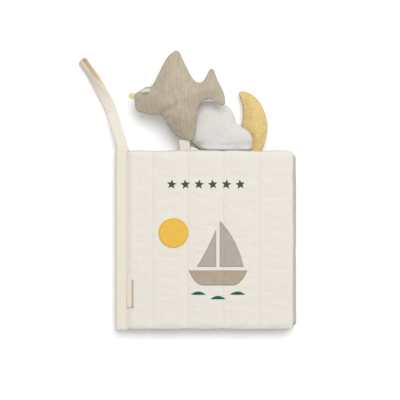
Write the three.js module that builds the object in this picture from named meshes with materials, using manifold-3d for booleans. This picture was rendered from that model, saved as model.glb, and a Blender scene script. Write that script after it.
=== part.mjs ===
// Cloth book with three small stuffed toys at its head edge, lying flat on its back cover.
// Millimetres, +Z up, +X from the spine to the fore edge, +Y to the head of the book.
// The origin is the middle of the back cover's flat underside.
import * as THREE from 'three';
import { mergeVertices } from 'three/addons/utils/BufferGeometryUtils.js';
import { ConvexHull } from 'three/addons/math/ConvexHull.js';
import Module from 'manifold-3d';

const wasm = await Module();
wasm.setup();

// Book
const coverHeight = 200; // tail to head
const channelCount = 5; // sewn channels across a cover
const channelWidth = 40;
const coverThickness = 5; // at the crown of a channel
const pageThickness = 4.5;
const seamThickness = 2; // where a line of quilting pulls a leaf thin
const pageOverhang = 2; // pages past the covers at the fore edge
const pageInset = 3.6; // pages short of the covers at head and tail
const edgeScallop = 0.8; // how far a channel's end bulges past its stitch lines
const edgeRounding = 9; // length over which a leaf swells from its bound edge

// Spine binding, hanging loop, label and tape
const bindingWidth = 14.3;
const bindingWall = 1.2;
const bindingRounding = 3.5;
const bindingOverhang = 1.2; // binding past the covers at head and tail
const backBulge = 1.7; // binding behind the leaves' spine edges
const strapWidth = 12.4;
const strapThickness = 1.2;
const strapRoot = 12; // strap sewn in under the binding
const loopEye = 5.4; // clear opening of the hanging loop near its end
const loopTurn = 62; // degrees by which the loop's end stands on edge
const strapSeamLength = 8;
const labelWidth = 6.3;
const labelLength = 31.6;
const labelThickness = 0.5;
const labelFromTail = 39.5; // label's middle above the tail edge
const tapeWidth = 12;
const tapeThickness = 0.8;
const tapeRoot = 27; // tape sewn in below the head edge

// Stuffed toys
const toySeam = 0.5; // half the thickness of a toy's edge seam
const toyTuck = 2.8; // cloud and moon nestle this far between the covers
const cloudThickness = 23;
const moonThickness = 17;
const birdThickness = 20;
const latticePitch = 7.5; // spacing of the surface points on a toy
const edgePitch = 4.6; // and along its edge seam
const beakPitch = 2.4;
const beakThickness = 5;

// Patches sewn on the front cover
const patchThickness = 0.5;
const sunRadius = 17;
const mastHeight = 52;
const boomLength = 27; // foot of the main sail
const jibFoot = 22;
const sailSpacing = 4; // between the sails, and between them and the hull
const hullLength = 66;
const hullDepth = 17;
const waveSpacing = 5;
const waveLength = 17;
const waveThickness = 3.4;
const waveCount = 3;

// Clearances
const gap = 0.3; // between pieces that touch
const hingeClearance = 0.7; // binding below the front cover's hinge edge

// Levels and places that follow
const coverWidth = channelCount * channelWidth;
const headEdge = coverHeight / 2;
const foreEdge = coverWidth / 2;
const spineBack = -foreEdge - backBulge;
const hingeX = spineBack + bindingWidth;
const backMiddle = coverThickness / 2;
const pageBottom = coverThickness + gap;
const pageTop = pageBottom + 2 * pageThickness + gap;
const frontBottom = pageTop + tapeThickness + 2 * gap;
const frontMiddle = frontBottom + coverThickness / 2;
const bookThickness = frontBottom + coverThickness;
const bindingTop = frontMiddle - seamThickness / 2 - hingeClearance;
const labelPlace = labelFromTail - headEdge;
const stitchLines = Array.from({ length: channelCount - 1 }, (_, line) => (line + 1) * channelWidth - foreEdge);

function clothMaterial(colour, roughness) {
  return new THREE.MeshStandardMaterial({ color: colour, roughness, metalness: 0 });
}

const quiltedCotton = clothMaterial('#ece8df', 0.92);
const pageCotton = clothMaterial('#b9b7a9', 0.92);
const bindingCotton = clothMaterial('#eae4d8', 0.9);
const twillTape = clothMaterial('#e8e2d2', 0.9);
const labelRibbon = clothMaterial('#ece1cf', 0.8);
const taupeLinen = clothMaterial('#b9ab95', 0.95);
const yellowCotton = clothMaterial('#e3d7a2', 0.9);
const greyMuslin = clothMaterial('#dedbd6', 0.95);
const mustardCotton = clothMaterial('#e2c56f', 0.92);
const greyPatch = clothMaterial('#b5b0a4', 0.9);
const sunPatch = clothMaterial('#eec14b', 0.9);
const hullPatch = clothMaterial('#b7aa96', 0.9);
const tealPatch = clothMaterial('#1f5f5a', 0.9);

const book = new THREE.Group();

function addPiece(name, geometry, material) {
  const mesh = new THREE.Mesh(geometry, material);
  mesh.name = name;
  book.add(mesh);
}

function smoothStep(value, from, to) {
  return THREE.MathUtils.smoothstep(value, from, to);
}

// Boolean work
function toSolid(geometry) {
  const bare = geometry.clone();
  bare.deleteAttribute('normal');
  bare.deleteAttribute('uv');
  const merged = mergeVertices(bare, 1e-4);
  const vertProperties = new Float32Array(merged.attributes.position.array);
  const triVerts = new Uint32Array(merged.index.array);
  return new wasm.Manifold(new wasm.Mesh({ numProp: 3, vertProperties, triVerts }));
}

function toGeometry(solid) {
  const mesh = solid.getMesh();
  const geometry = new THREE.BufferGeometry();
  geometry.setAttribute('position', new THREE.BufferAttribute(mesh.vertProperties, 3));
  geometry.setIndex(new THREE.BufferAttribute(mesh.triVerts, 1));
  geometry.computeVertexNormals();
  return geometry;
}

function boxBetween(low, high) {
  const size = new THREE.Vector3().subVectors(high, low);
  const box = new THREE.BoxGeometry(size.x, size.y, size.z);
  box.translate(low.x + size.x / 2, low.y + size.y / 2, low.z + size.z / 2);
  return box;
}

// Quilted leaves: a slab whose thickness swells between its stitch lines
const channelStations = [0, 0.12, 0.3, 0.7, 0.88];
const flatFrom = channelStations[2];
const edgeStations = [0, 0.22, 1];

function channelSwell(share) {
  const crown = Math.sqrt(4 * flatFrom * (1 - flatFrom));
  return Math.min(1, Math.sqrt(Math.max(0, 4 * share * (1 - share))) / crown);
}

function edgeSwell(distance) {
  const share = Math.min(1, distance / edgeRounding);
  return Math.sqrt(1 - (1 - share) ** 2);
}

function quiltedLeaf({ left, right, halfHeight, middle, thickness }) {
  const bounds = [left, ...stitchLines, right];
  const columns = [];
  for (let channel = 0; channel < bounds.length - 1; channel += 1) {
    for (const share of channelStations) {
      const x = THREE.MathUtils.lerp(bounds[channel], bounds[channel + 1], share);
      columns.push({ x, swell: channelSwell(share) });
    }
  }
  columns.push({ x: right, swell: 0 });
  const tail = edgeStations.map((share) => -halfHeight + share * edgeRounding);
  const rows = [...tail, ...tail.map((y) => -y).reverse()];
  const leaf = new THREE.BoxGeometry(1, 1, 1, columns.length - 1, rows.length - 1, 1);
  const position = leaf.attributes.position;
  for (let index = 0; index < position.count; index += 1) {
    const column = columns[Math.round((position.getX(index) + 0.5) * (columns.length - 1))];
    const y = rows[Math.round((position.getY(index) + 0.5) * (rows.length - 1))];
    const swell = column.swell * edgeSwell(halfHeight - Math.abs(y));
    const half = THREE.MathUtils.lerp(seamThickness, thickness, swell) / 2;
    const scallop = Math.abs(y) > halfHeight - edgeRounding / 2 ? edgeScallop * column.swell : 0;
    const outward = Math.sign(y) * scallop;
    position.setXYZ(index, column.x, y + outward, middle + Math.sign(position.getZ(index)) * half);
  }
  return leaf;
}

// A woven strip bent along its own centre line, with the direction of its width at each place
function bentStrip({ centres, across, width, thickness }) {
  const strip = new THREE.BoxGeometry(1, 1, 1, centres.length - 1, 1, 1);
  const position = strip.attributes.position;
  const last = centres.length - 1;
  for (let index = 0; index < position.count; index += 1) {
    const place = Math.round((position.getX(index) + 0.5) * last);
    const along = new THREE.Vector3().subVectors(
      centres[Math.min(place + 1, last)],
      centres[Math.max(place - 1, 0)],
    ).normalize();
    const side = across[place];
    const face = new THREE.Vector3().crossVectors(along, side).normalize();
    const point = centres[place].clone()
      .addScaledVector(side, position.getY(index) * width)
      .addScaledVector(face, position.getZ(index) * thickness);
    position.setXYZ(index, point.x, point.y, point.z);
  }
  return strip;
}

// Outlines: each stretch is a smooth curve on from the one before, and stretches meet in a corner
function sampledOutline(start, stretches, pitch) {
  const path = new THREE.Path();
  path.moveTo(start[0], start[1]);
  for (const stretch of stretches) {
    path.splineThru(stretch.map(([x, y]) => new THREE.Vector2(x, y)));
  }
  const points = [];
  for (const curve of path.curves) {
    const steps = Math.max(1, Math.round(curve.getLength() / pitch));
    points.push(...curve.getSpacedPoints(steps).slice(0, -1));
  }
  return points;
}

function liesInside(point, edge) {
  let inside = false;
  edge.forEach((from, index) => {
    const to = edge[(index + 1) % edge.length];
    const crosses = from.y > point.y !== to.y > point.y;
    if (crosses && point.x < from.x + (to.x - from.x) * (point.y - from.y) / (to.y - from.y)) {
      inside = !inside;
    }
  });
  return inside;
}

function latticeInside(edge, pitch) {
  const box = new THREE.Box2().setFromPoints(edge);
  const rowHeight = pitch * Math.sqrt(3) / 2;
  const points = [];
  for (let row = 0; box.min.y + row * rowHeight < box.max.y; row += 1) {
    const shift = row % 2 ? pitch / 2 : 0;
    for (let x = box.min.x + shift; x < box.max.x; x += pitch) {
      const point = new THREE.Vector2(x, box.min.y + row * rowHeight);
      const clear = edge.every((corner) => corner.distanceTo(point) > pitch * 0.55);
      if (clear && liesInside(point, edge)) points.push(point);
    }
  }
  return points;
}

// Triangles between flat points: the underside of the hull of the points lifted onto a bowl
function triangulate(points, edge) {
  const lifted = points.map((point) => new THREE.Vector3(point.x, point.y, point.lengthSq() / 100));
  const indexOf = new Map(lifted.map((point, index) => [point, index]));
  const triangles = [];
  for (const face of new ConvexHull().setFromPoints(lifted).faces) {
    const corners = [face.edge, face.edge.next, face.edge.prev].map((side) => indexOf.get(side.head().point));
    const [a, b, c] = corners.map((corner) => points[corner]);
    const turn = (b.x - a.x) * (c.y - a.y) - (b.y - a.y) * (c.x - a.x);
    const middle = new THREE.Vector2().add(a).add(b).add(c).divideScalar(3);
    if (face.normal.z < 0 && Math.abs(turn) > 1e-6 && liesInside(middle, edge)) {
      triangles.push(turn > 0 ? corners : [corners[0], corners[2], corners[1]]);
    }
  }
  return triangles;
}

// Two cloth panels sewn together at their edge and stuffed: the swell is that of a film under
// even pressure, eased off at the toy's full thickness, and it lies along a bed of given height.
// Pinch is how thick half the toy may be at a place, such as between the covers.
function stuffedToy({ edge, thickness, plumpness, bed, pitch = latticePitch, pinch = () => Infinity }) {
  const points = [...edge, ...latticeInside(edge, pitch)];
  const triangles = triangulate(points, edge);
  const neighbours = points.map(() => new Set());
  for (const [a, b, c] of triangles) {
    neighbours[a].add(b).add(c);
    neighbours[b].add(a).add(c);
    neighbours[c].add(a).add(b);
  }
  const film = points.map(() => 0);
  for (let round = 0; round < 400; round += 1) {
    for (let index = edge.length; index < points.length; index += 1) {
      const around = [...neighbours[index]];
      const spread = around.reduce((sum, other) => sum + points[other].distanceToSquared(points[index]), 0);
      const level = around.reduce((sum, other) => sum + film[other], 0);
      film[index] = (level + spread / 4) / around.length;
    }
  }
  const fullHalf = thickness / 2;
  const vertices = [];
  for (const side of [1, -1]) {
    points.forEach((point, index) => {
      const swell = fullHalf * Math.tanh(plumpness * 2 * Math.sqrt(film[index]) / fullHalf);
      const half = Math.max(toySeam, Math.min(swell, pinch(point.x, point.y)));
      vertices.push(point.x, point.y, Math.max(0, bed(point.x, point.y) + side * half));
    });
  }
  const faces = [];
  const used = new Set(triangles.flatMap(([a, b, c]) => [`${a} ${b}`, `${b} ${c}`, `${c} ${a}`]));
  const lower = points.length;
  for (const [a, b, c] of triangles) {
    faces.push(a, b, c, lower + a, lower + c, lower + b);
    for (const [from, to] of [[a, b], [b, c], [c, a]]) {
      if (!used.has(`${to} ${from}`)) {
        faces.push(from, lower + from, to, to, lower + from, lower + to);
      }
    }
  }
  const toy = new THREE.BufferGeometry();
  toy.setAttribute('position', new THREE.Float32BufferAttribute(vertices, 3));
  toy.setIndex(faces);
  toy.computeVertexNormals();
  return toy;
}

// Places on a toy are given from the middle of the book and from its head edge
function fromHead(points) {
  return points.map(([x, y]) => [x, y + headEdge]);
}

// Covers
function makeBackCover() {
  return quiltedLeaf({
    left: hingeX + gap,
    right: foreEdge,
    halfHeight: headEdge,
    middle: backMiddle,
    thickness: coverThickness,
  });
}

function makeFrontCover() {
  return quiltedLeaf({
    left: hingeX + gap,
    right: foreEdge,
    halfHeight: headEdge,
    middle: frontMiddle,
    thickness: coverThickness,
  });
}

// A bar along the spine, rounded at its back, set in from the binding's outside
function spineBar({ inset, right, length }) {
  const top = bindingTop - inset;
  const bottom = bookThickness - top;
  const back = spineBack + inset;
  const radius = bindingRounding - inset;
  const section = new THREE.Shape();
  section.moveTo(right, top);
  section.lineTo(back + radius, top);
  section.absarc(back + radius, top - radius, radius, Math.PI / 2, Math.PI);
  section.absarc(back + radius, bottom + radius, radius, Math.PI, 1.5 * Math.PI);
  section.lineTo(right, bottom);
  section.closePath();
  const bar = new THREE.ExtrudeGeometry(section, { depth: length, bevelEnabled: false, curveSegments: 5 });
  bar.rotateX(Math.PI / 2);
  bar.translate(0, length / 2, 0);
  return bar;
}

// Two inner leaves and the sewn spine that holds all the leaves, one solid
const coreReach = 3; // how far the sewn spine runs into the leaves

function makePageBlock() {
  const leafBase = { left: hingeX + gap, right: foreEdge + pageOverhang, halfHeight: headEdge - pageInset };
  const lowerLeaf = quiltedLeaf({
    ...leafBase,
    middle: pageBottom + pageThickness / 2,
    thickness: pageThickness,
  });
  const upperLeaf = quiltedLeaf({
    ...leafBase,
    middle: pageTop - pageThickness / 2,
    thickness: pageThickness,
  });
  const core = spineBar({ inset: bindingWall + gap, right: hingeX + coreReach, length: coverHeight });
  const strapSeat = boxBetween(
    new THREE.Vector3(spineBack, headEdge - strapRoot - gap, strapRootLevel - strapThickness / 2 - gap),
    new THREE.Vector3(hingeX + 2 * coreReach, coverHeight, bookThickness),
  );
  const cutCore = toSolid(core).subtract(toSolid(strapSeat));
  return toGeometry(toSolid(lowerLeaf).add(toSolid(upperLeaf)).add(cutCore));
}

// Cotton strip folded round the spine
function makeBinding() {
  const length = coverHeight + 2 * bindingOverhang;
  const outer = spineBar({ inset: 0, right: hingeX, length });
  const inner = spineBar({ inset: bindingWall, right: foreEdge, length: length + 2 });
  return toGeometry(toSolid(outer).subtract(toSolid(inner)));
}

// Hanging loop: a strap out of the binding's head, lying down to the left, whose doubled end
// turns onto its edge and opens
const strapRootLevel = bindingTop - bindingWall - gap - strapThickness / 2;
const strapX = spineBack + bindingWall + bindingRounding / 2 + strapWidth / 2;
const strapPlan = new THREE.SplineCurve(fromHead([
  [strapX, -strapRoot],
  [strapX, 2],
  [strapX - 6.6, 26],
  [strapX - 13.8, 49],
  [strapX - 27.8, 75],
  [strapX - 44.4, 101],
]).map(([x, y]) => new THREE.Vector2(x, y)));
const strapSeamFrom = 0.5; // share of the strap's length where the doubled run starts
const strapSteps = 26;

function strapPlace(share, offset) {
  const plan = strapPlan.getPointAt(share);
  const along = strapPlan.getTangentAt(share);
  const lateral = new THREE.Vector3(along.y, -along.x, 0);
  const turn = THREE.MathUtils.degToRad(loopTurn) * smoothStep(share, strapSeamFrom - 0.05, 0.95);
  const up = new THREE.Vector3(0, 0, 1);
  const side = lateral.clone().multiplyScalar(Math.cos(turn)).addScaledVector(up, Math.sin(turn));
  const face = up.clone().multiplyScalar(Math.cos(turn)).addScaledVector(lateral, -Math.sin(turn));
  const lying = gap + strapWidth / 2 * Math.sin(turn) + (loopEye / 2 + strapThickness) * Math.cos(turn);
  const height = THREE.MathUtils.lerp(strapRootLevel, lying, smoothStep(share, 0.12, 0.6));
  const centre = new THREE.Vector3(plan.x, plan.y, height).addScaledVector(face, offset);
  return { centre, side, face, along: new THREE.Vector3(along.x, along.y, 0) };
}

function runOffset(share) {
  const closed = strapThickness / 2 + gap / 2;
  const open = loopEye / 2 + strapThickness / 2;
  return THREE.MathUtils.lerp(closed, open, smoothStep(share, strapSeamFrom + 0.06, 0.86));
}

function makeHangingLoop() {
  const places = [];
  const bendRadius = runOffset(1);
  for (let step = 0; step <= strapSteps; step += 1) {
    const share = step / strapSteps;
    const offset = runOffset(share) * smoothStep(share, strapSeamFrom - 0.2, strapSeamFrom);
    places.push(strapPlace(share, offset));
  }
  const end = strapPlace(1, 0);
  const bendSteps = 6;
  for (let step = 1; step < bendSteps; step += 1) {
    const angle = Math.PI * step / bendSteps;
    const centre = end.centre.clone()
      .addScaledVector(end.face, bendRadius * Math.cos(angle))
      .addScaledVector(end.along, bendRadius * Math.sin(angle));
    places.push({ centre, side: end.side });
  }
  for (let step = strapSteps; step / strapSteps >= strapSeamFrom; step -= 1) {
    places.push(strapPlace(step / strapSteps, -runOffset(step / strapSteps)));
  }
  const strap = bentStrip({
    centres: places.map((place) => place.centre),
    across: places.map((place) => place.side),
    width: strapWidth,
    thickness: strapThickness,
  });
  const seamShare = strapSeamLength / strapPlan.getLength();
  const seamPlaces = [0, 0.5, 1].map((step) => strapPlace(strapSeamFrom + seamShare * step, 0));
  const seam = bentStrip({
    centres: seamPlaces.map((place) => place.centre),
    across: seamPlaces.map((place) => place.side),
    width: strapWidth - 2 * gap,
    thickness: strapThickness + gap,
  });
  return toGeometry(toSolid(strap).add(toSolid(seam)));
}

// Bare side label, a folded ribbon caught in the binding's stitching
function makeLabel() {
  const level = bookThickness + gap;
  return boxBetween(
    new THREE.Vector3(hingeX + gap, labelPlace - labelLength / 2, level),
    new THREE.Vector3(hingeX + gap + labelWidth, labelPlace + labelLength / 2, level + labelThickness),
  );
}

// Toys
const cloudBed = cloudThickness / 2;
const cloudLean = 8; // how far the cloud's right lobe rides up on the moon
const moonBed = moonThickness / 2;
const birdBed = cloudThickness + gap + birdThickness / 2;
const nestleReach = 14; // how far from the book a toy has left the covers' grip
const wingDrop = 9; // how far the bird's near wing hangs down to the book

// Between the covers a toy is held at the book's middle, and it leaves their grip towards its bed
function nestledBed(bed, y) {
  return THREE.MathUtils.lerp(bookThickness / 2, bed, smoothStep(y - headEdge, 0, nestleReach));
}

function coverPinch(x, y) {
  const space = frontMiddle - backMiddle - (seamThickness + coverThickness) / 2;
  return space / 2 - gap + Math.max(0, y - headEdge);
}

function makeCloud() {
  const edge = sampledOutline([48, headEdge - toyTuck], [
    fromHead([[51.6, 0], [53, 8], [51, 18], [46, 23.6], [39.2, 27.3], [33.4, 31]]),
    fromHead([[32.6, 38], [27.8, 47.9], [18, 54], [6, 56.4], [-5, 54.6], [-14, 49], [-20, 40], [-20.6, 34]]),
    fromHead([[-26, 31], [-29.6, 24], [-27, 17], [-20, 13], [-14.4, 7], [-12, -toyTuck]]),
    fromHead([[48, -toyTuck]]),
  ], edgePitch);
  const bed = (x, y) => nestledBed(cloudBed + cloudLean * smoothStep(x, 22, 50), y);
  return stuffedToy({ edge, thickness: cloudThickness, plumpness: 0.62, bed, pinch: coverPinch });
}

function makeMoon() {
  const edge = sampledOutline([37.6, headEdge + 66], [
    fromHead([[42.4, 56], [43.8, 44.5], [43.2, 34], [41.6, 27], [44, 20.5], [49, 13], [53, 5], [53.8, -toyTuck]]),
    fromHead([[59.4, -toyTuck]]),
    fromHead([[65.6, 8], [69, 21.6], [69.2, 33], [64.8, 48], [57.5, 59.3], [47.6, 66.3], [40, 67.6], [37.6, 66]]),
  ], edgePitch);
  const bed = (x, y) => nestledBed(moonBed, y);
  return stuffedToy({ edge, thickness: moonThickness, plumpness: 0.72, bed, pinch: coverPinch });
}

function makeBird() {
  const edge = sampledOutline([-78.4, headEdge + 64.6], [
    fromHead([[-80, 60.4], [-79.4, 56.6]]),
    fromHead([[-76.6, 48], [-69.7, 43.3], [-57, 41], [-49.4, 44.4]]),
    fromHead([[-46.4, 36], [-38.8, 24.9], [-30.7, 15.8], [-18.4, 9.2]]),
    fromHead([[-14.6, 9.8], [-11.6, 22], [-10, 38], [-8.6, 48.4], [-4.6, 54.4], [0, 57.2], [7, 57.4], [18, 50]]),
    fromHead([[21.4, 51.6], [21, 61], [17.4, 70.8], [11.6, 82.2], [9, 91], [5.6, 91.8]]),
    fromHead([[3.2, 88.6], [-1, 79], [-5.6, 74.9], [-10.8, 76.6], [-15.8, 82.2], [-22.8, 96.1], [-29.2, 110.6]]),
    fromHead([[-32.8, 112.6], [-37.6, 109.4], [-44.6, 101.6], [-50.4, 89], [-57, 76.6], [-61.8, 72.4]]),
    fromHead([[-67.4, 72.2], [-73.2, 69.9], [-78.4, 64.6]]),
  ], edgePitch);
  const bed = (x, y) => birdBed - wingDrop * smoothStep(headEdge + 42 - y, 0, 34);
  return stuffedToy({ edge, thickness: birdThickness, plumpness: 0.62, bed });
}

function makeBeak() {
  const edge = sampledOutline([-79.8, headEdge + 64.6], [
    fromHead([[-84, 65.2], [-86.9, 62.4], [-85.6, 59], [-80.8, 57]]),
    fromHead([[-81.4, 60.4], [-79.8, 64.6]]),
  ], beakPitch);
  const bed = () => birdBed;
  return stuffedToy({ edge, thickness: beakThickness, plumpness: 0.8, bed, pitch: beakPitch });
}

// Twill tape from under the bird's near wing into the book, with its second run slanting away
const tapeLevel = pageTop + gap + tapeThickness / 2;
const tapeTopLevel = tapeLevel + 3.4;

function tapeRun(route) {
  const centres = route.map(([x, y, z]) => new THREE.Vector3(x, headEdge + y, z));
  const across = centres.map((centre, place) => {
    const next = centres[Math.min(place + 1, centres.length - 1)];
    const before = centres[Math.max(place - 1, 0)];
    return new THREE.Vector3(next.y - before.y, before.x - next.x, 0).normalize();
  });
  return bentStrip({ centres, across, width: tapeWidth, thickness: tapeThickness });
}

function makeTape() {
  const straight = tapeRun([
    [-22.6, -tapeRoot, tapeLevel],
    [-22.8, -12, tapeLevel],
    [-23, -5, tapeLevel],
    [-23.2, 0, tapeLevel],
    [-23.4, 4, tapeLevel + 0.8],
    [-23.6, 8, tapeLevel + 2],
    [-24, 13, tapeTopLevel],
  ]);
  const slanting = tapeRun([
    [6, -13, tapeLevel],
    [-8, -6.6, tapeLevel],
    [-19.4, -1.4, tapeLevel],
  ]);
  return toGeometry(toSolid(straight).add(toSolid(slanting)));
}

// Patches, flat on the crowns of the channels
function sewPatch(name, shape, material) {
  const patch = new THREE.ExtrudeGeometry(shape, { depth: patchThickness, bevelEnabled: false, curveSegments: 10 });
  patch.translate(0, 0, bookThickness + gap);
  addPiece(name, patch, material);
}

function makePatches() {
  const boatX = 14;
  const deckY = -34;
  const sailFoot = deckY + sailSpacing;
  const mainLuff = boatX + sailSpacing / 2;
  const jibLuff = boatX - sailSpacing / 2;
  const hull = new THREE.Shape();
  hull.moveTo(boatX - hullLength / 2, deckY);
  hull.quadraticCurveTo(boatX - hullLength / 2 + 7, deckY - hullDepth, boatX - hullLength / 4, deckY - hullDepth);
  hull.lineTo(boatX + hullLength / 4, deckY - hullDepth);
  hull.quadraticCurveTo(boatX + hullLength / 2 - 7, deckY - hullDepth, boatX + hullLength / 2, deckY);
  hull.closePath();
  sewPatch('hull_patch', hull, hullPatch);

  const mainSail = new THREE.Shape();
  mainSail.moveTo(mainLuff, sailFoot);
  mainSail.lineTo(mainLuff + boomLength, sailFoot);
  mainSail.quadraticCurveTo(mainLuff + boomLength * 0.74, sailFoot + mastHeight * 0.6, mainLuff, sailFoot + mastHeight);
  mainSail.closePath();
  sewPatch('main_sail_patch', mainSail, greyPatch);

  const jib = new THREE.Shape();
  jib.moveTo(jibLuff, sailFoot);
  jib.lineTo(jibLuff, sailFoot + mastHeight * 0.82);
  jib.quadraticCurveTo(jibLuff - jibFoot * 0.45, sailFoot + mastHeight * 0.36, jibLuff - jibFoot, sailFoot);
  jib.closePath();
  sewPatch('jib_patch', jib, greyPatch);

  const sun = new THREE.Shape();
  sun.absarc(-36, 8, sunRadius, 0, 2 * Math.PI);
  sewPatch('sun_patch', sun, sunPatch);

  for (let count = 0; count < waveCount; count += 1) {
    const wave = new THREE.Shape();
    const left = boatX + (count - waveCount / 2) * (waveLength + waveSpacing) + waveSpacing / 2;
    const base = deckY - hullDepth - 3 * waveThickness - (count % 2) * waveSpacing;
    wave.moveTo(left, base);
    wave.quadraticCurveTo(left + waveLength / 2, base + 2 * waveThickness, left + waveLength, base);
    wave.quadraticCurveTo(left + waveLength / 2, base - 0.2 * waveThickness, left, base);
    sewPatch(`wave_patch_${count + 1}`, wave, tealPatch);
  }
}

addPiece('back_cover', makeBackCover(), quiltedCotton);
addPiece('page_block', makePageBlock(), pageCotton);
addPiece('front_cover', makeFrontCover(), quiltedCotton);
addPiece('spine_binding', makeBinding(), bindingCotton);
addPiece('hanging_loop', makeHangingLoop(), twillTape);
addPiece('side_label', makeLabel(), labelRibbon);
addPiece('plush_cloud', makeCloud(), greyMuslin);
addPiece('plush_moon', makeMoon(), mustardCotton);
addPiece('plush_bird', makeBird(), taupeLinen);
addPiece('bird_beak', makeBeak(), yellowCotton);
addPiece('bird_tape', makeTape(), twillTape);
makePatches();

export default book;
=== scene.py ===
import math

import bmesh
import bpy
import numpy as np
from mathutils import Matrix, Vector
from mathutils.bvhtree import BVHTree
from mathutils.geometry import delaunay_2d_cdt


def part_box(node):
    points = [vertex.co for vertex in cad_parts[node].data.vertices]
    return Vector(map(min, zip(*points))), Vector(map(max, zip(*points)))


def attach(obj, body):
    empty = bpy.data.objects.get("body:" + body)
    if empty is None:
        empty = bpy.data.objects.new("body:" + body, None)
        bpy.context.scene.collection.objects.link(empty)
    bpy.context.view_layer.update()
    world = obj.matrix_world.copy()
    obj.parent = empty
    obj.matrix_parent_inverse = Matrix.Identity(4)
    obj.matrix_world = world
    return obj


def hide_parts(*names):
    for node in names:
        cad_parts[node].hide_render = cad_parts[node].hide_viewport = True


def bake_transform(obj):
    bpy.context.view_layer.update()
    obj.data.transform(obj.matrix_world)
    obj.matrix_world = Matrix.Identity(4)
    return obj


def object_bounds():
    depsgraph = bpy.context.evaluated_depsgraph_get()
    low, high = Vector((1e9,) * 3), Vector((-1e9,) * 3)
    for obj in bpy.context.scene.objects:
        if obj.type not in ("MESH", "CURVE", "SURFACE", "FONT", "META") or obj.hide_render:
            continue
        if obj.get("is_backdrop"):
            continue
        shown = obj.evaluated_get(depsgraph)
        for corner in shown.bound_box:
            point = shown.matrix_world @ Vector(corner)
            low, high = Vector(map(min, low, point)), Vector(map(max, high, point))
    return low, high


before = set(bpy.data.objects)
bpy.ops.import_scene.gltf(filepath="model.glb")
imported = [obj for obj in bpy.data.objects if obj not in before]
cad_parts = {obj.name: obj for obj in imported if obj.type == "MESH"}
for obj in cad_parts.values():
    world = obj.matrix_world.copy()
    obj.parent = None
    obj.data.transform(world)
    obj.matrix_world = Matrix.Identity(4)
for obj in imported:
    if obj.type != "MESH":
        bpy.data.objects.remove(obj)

mm = 0.001
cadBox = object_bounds()
print("frame loaded")

# Camera: straight down on the cover, as the photograph looks
cameraSettings = {
    "aim": (-6.2 * mm, 45.0 * mm),  # the picture's centre on the table
    "coverLevel": 21 * mm,  # the framing width below is measured at the front cover
    "width": 449.4 * mm,
    "lens": 128,
}


def makeCamera(settings):
    data = bpy.data.cameras.new("camera")
    data.lens = settings["lens"]
    distance = settings["width"] * data.lens / data.sensor_width
    camera = bpy.data.objects.new("camera", data)
    camera.location = (*settings["aim"], settings["coverLevel"] + distance)
    bpy.context.scene.collection.objects.link(camera)
    bpy.context.scene.camera = camera


makeCamera(cameraSettings)


# Small tools
def linear(hexColour, alpha=1.0):
    values = [int(hexColour[i : i + 2], 16) / 255 for i in (1, 3, 5)]
    return (*[v / 12.92 if v <= 0.04045 else ((v + 0.055) / 1.055) ** 2.4 for v in values], alpha)


def addNode(tree, kind, inputs=None, **settings):
    # a shader node with its settings and links; gives back the output that holds its result
    node = tree.nodes.new("ShaderNode" + kind)
    for name, value in settings.items():
        setattr(node, name, value)
    for socket, value in (inputs or {}).items():
        if isinstance(value, bpy.types.NodeSocket):
            tree.links.new(value, node.inputs[socket])
        else:
            node.inputs[socket].default_value = value
    return node.outputs[2 if kind == "Mix" else 0] if node.outputs else node


def emptyMaterial(name):
    material = bpy.data.materials.new(name)
    material.use_nodes = True
    material.node_tree.nodes.clear()
    return material, material.node_tree


def smoothstep(value, low, high):
    t = np.clip((value - low) / (high - low), 0, 1)
    return t * t * (3 - 2 * t)


def meshObject(name, vertices, faces, uv=None, smooth=True):
    mesh = bpy.data.meshes.new(name)
    mesh.from_pydata([tuple(v) for v in vertices], [], [tuple(f) for f in faces])
    if uv is not None:  # flat cloth pattern in metres, one place for each vertex
        layer = mesh.uv_layers.new(name="cloth")
        corners = np.zeros(len(mesh.loops), np.int32)
        mesh.loops.foreach_get("vertex_index", corners)
        layer.data.foreach_set("uv", np.asarray(uv, np.float32)[corners].ravel())
    mesh.polygons.foreach_set("use_smooth", [smooth] * len(mesh.polygons))
    piece = bpy.data.objects.new(name, mesh)
    bpy.context.scene.collection.objects.link(piece)
    return piece


def places(piece):
    co = np.zeros(len(piece.data.vertices) * 3)
    piece.data.vertices.foreach_get("co", co)
    return co.reshape(-1, 3)


def setPlaces(piece, co):
    piece.data.vertices.foreach_set("co", np.asarray(co, np.float32).ravel())
    piece.data.update()


def restOnTable(piece):
    # cloth that would reach below the table lies flat on it
    setPlaces(piece, np.maximum(places(piece), [-1, -1, 0]))


def applyModifiers(piece):
    graph = bpy.context.evaluated_depsgraph_get()
    done = bpy.data.meshes.new_from_object(piece.evaluated_get(graph), depsgraph=graph)
    piece.modifiers.clear()
    old = piece.data
    piece.data = done
    bpy.data.meshes.remove(old)


def pairKeys(a, b, size):
    return np.minimum(a, b) * size + np.maximum(a, b)


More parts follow.
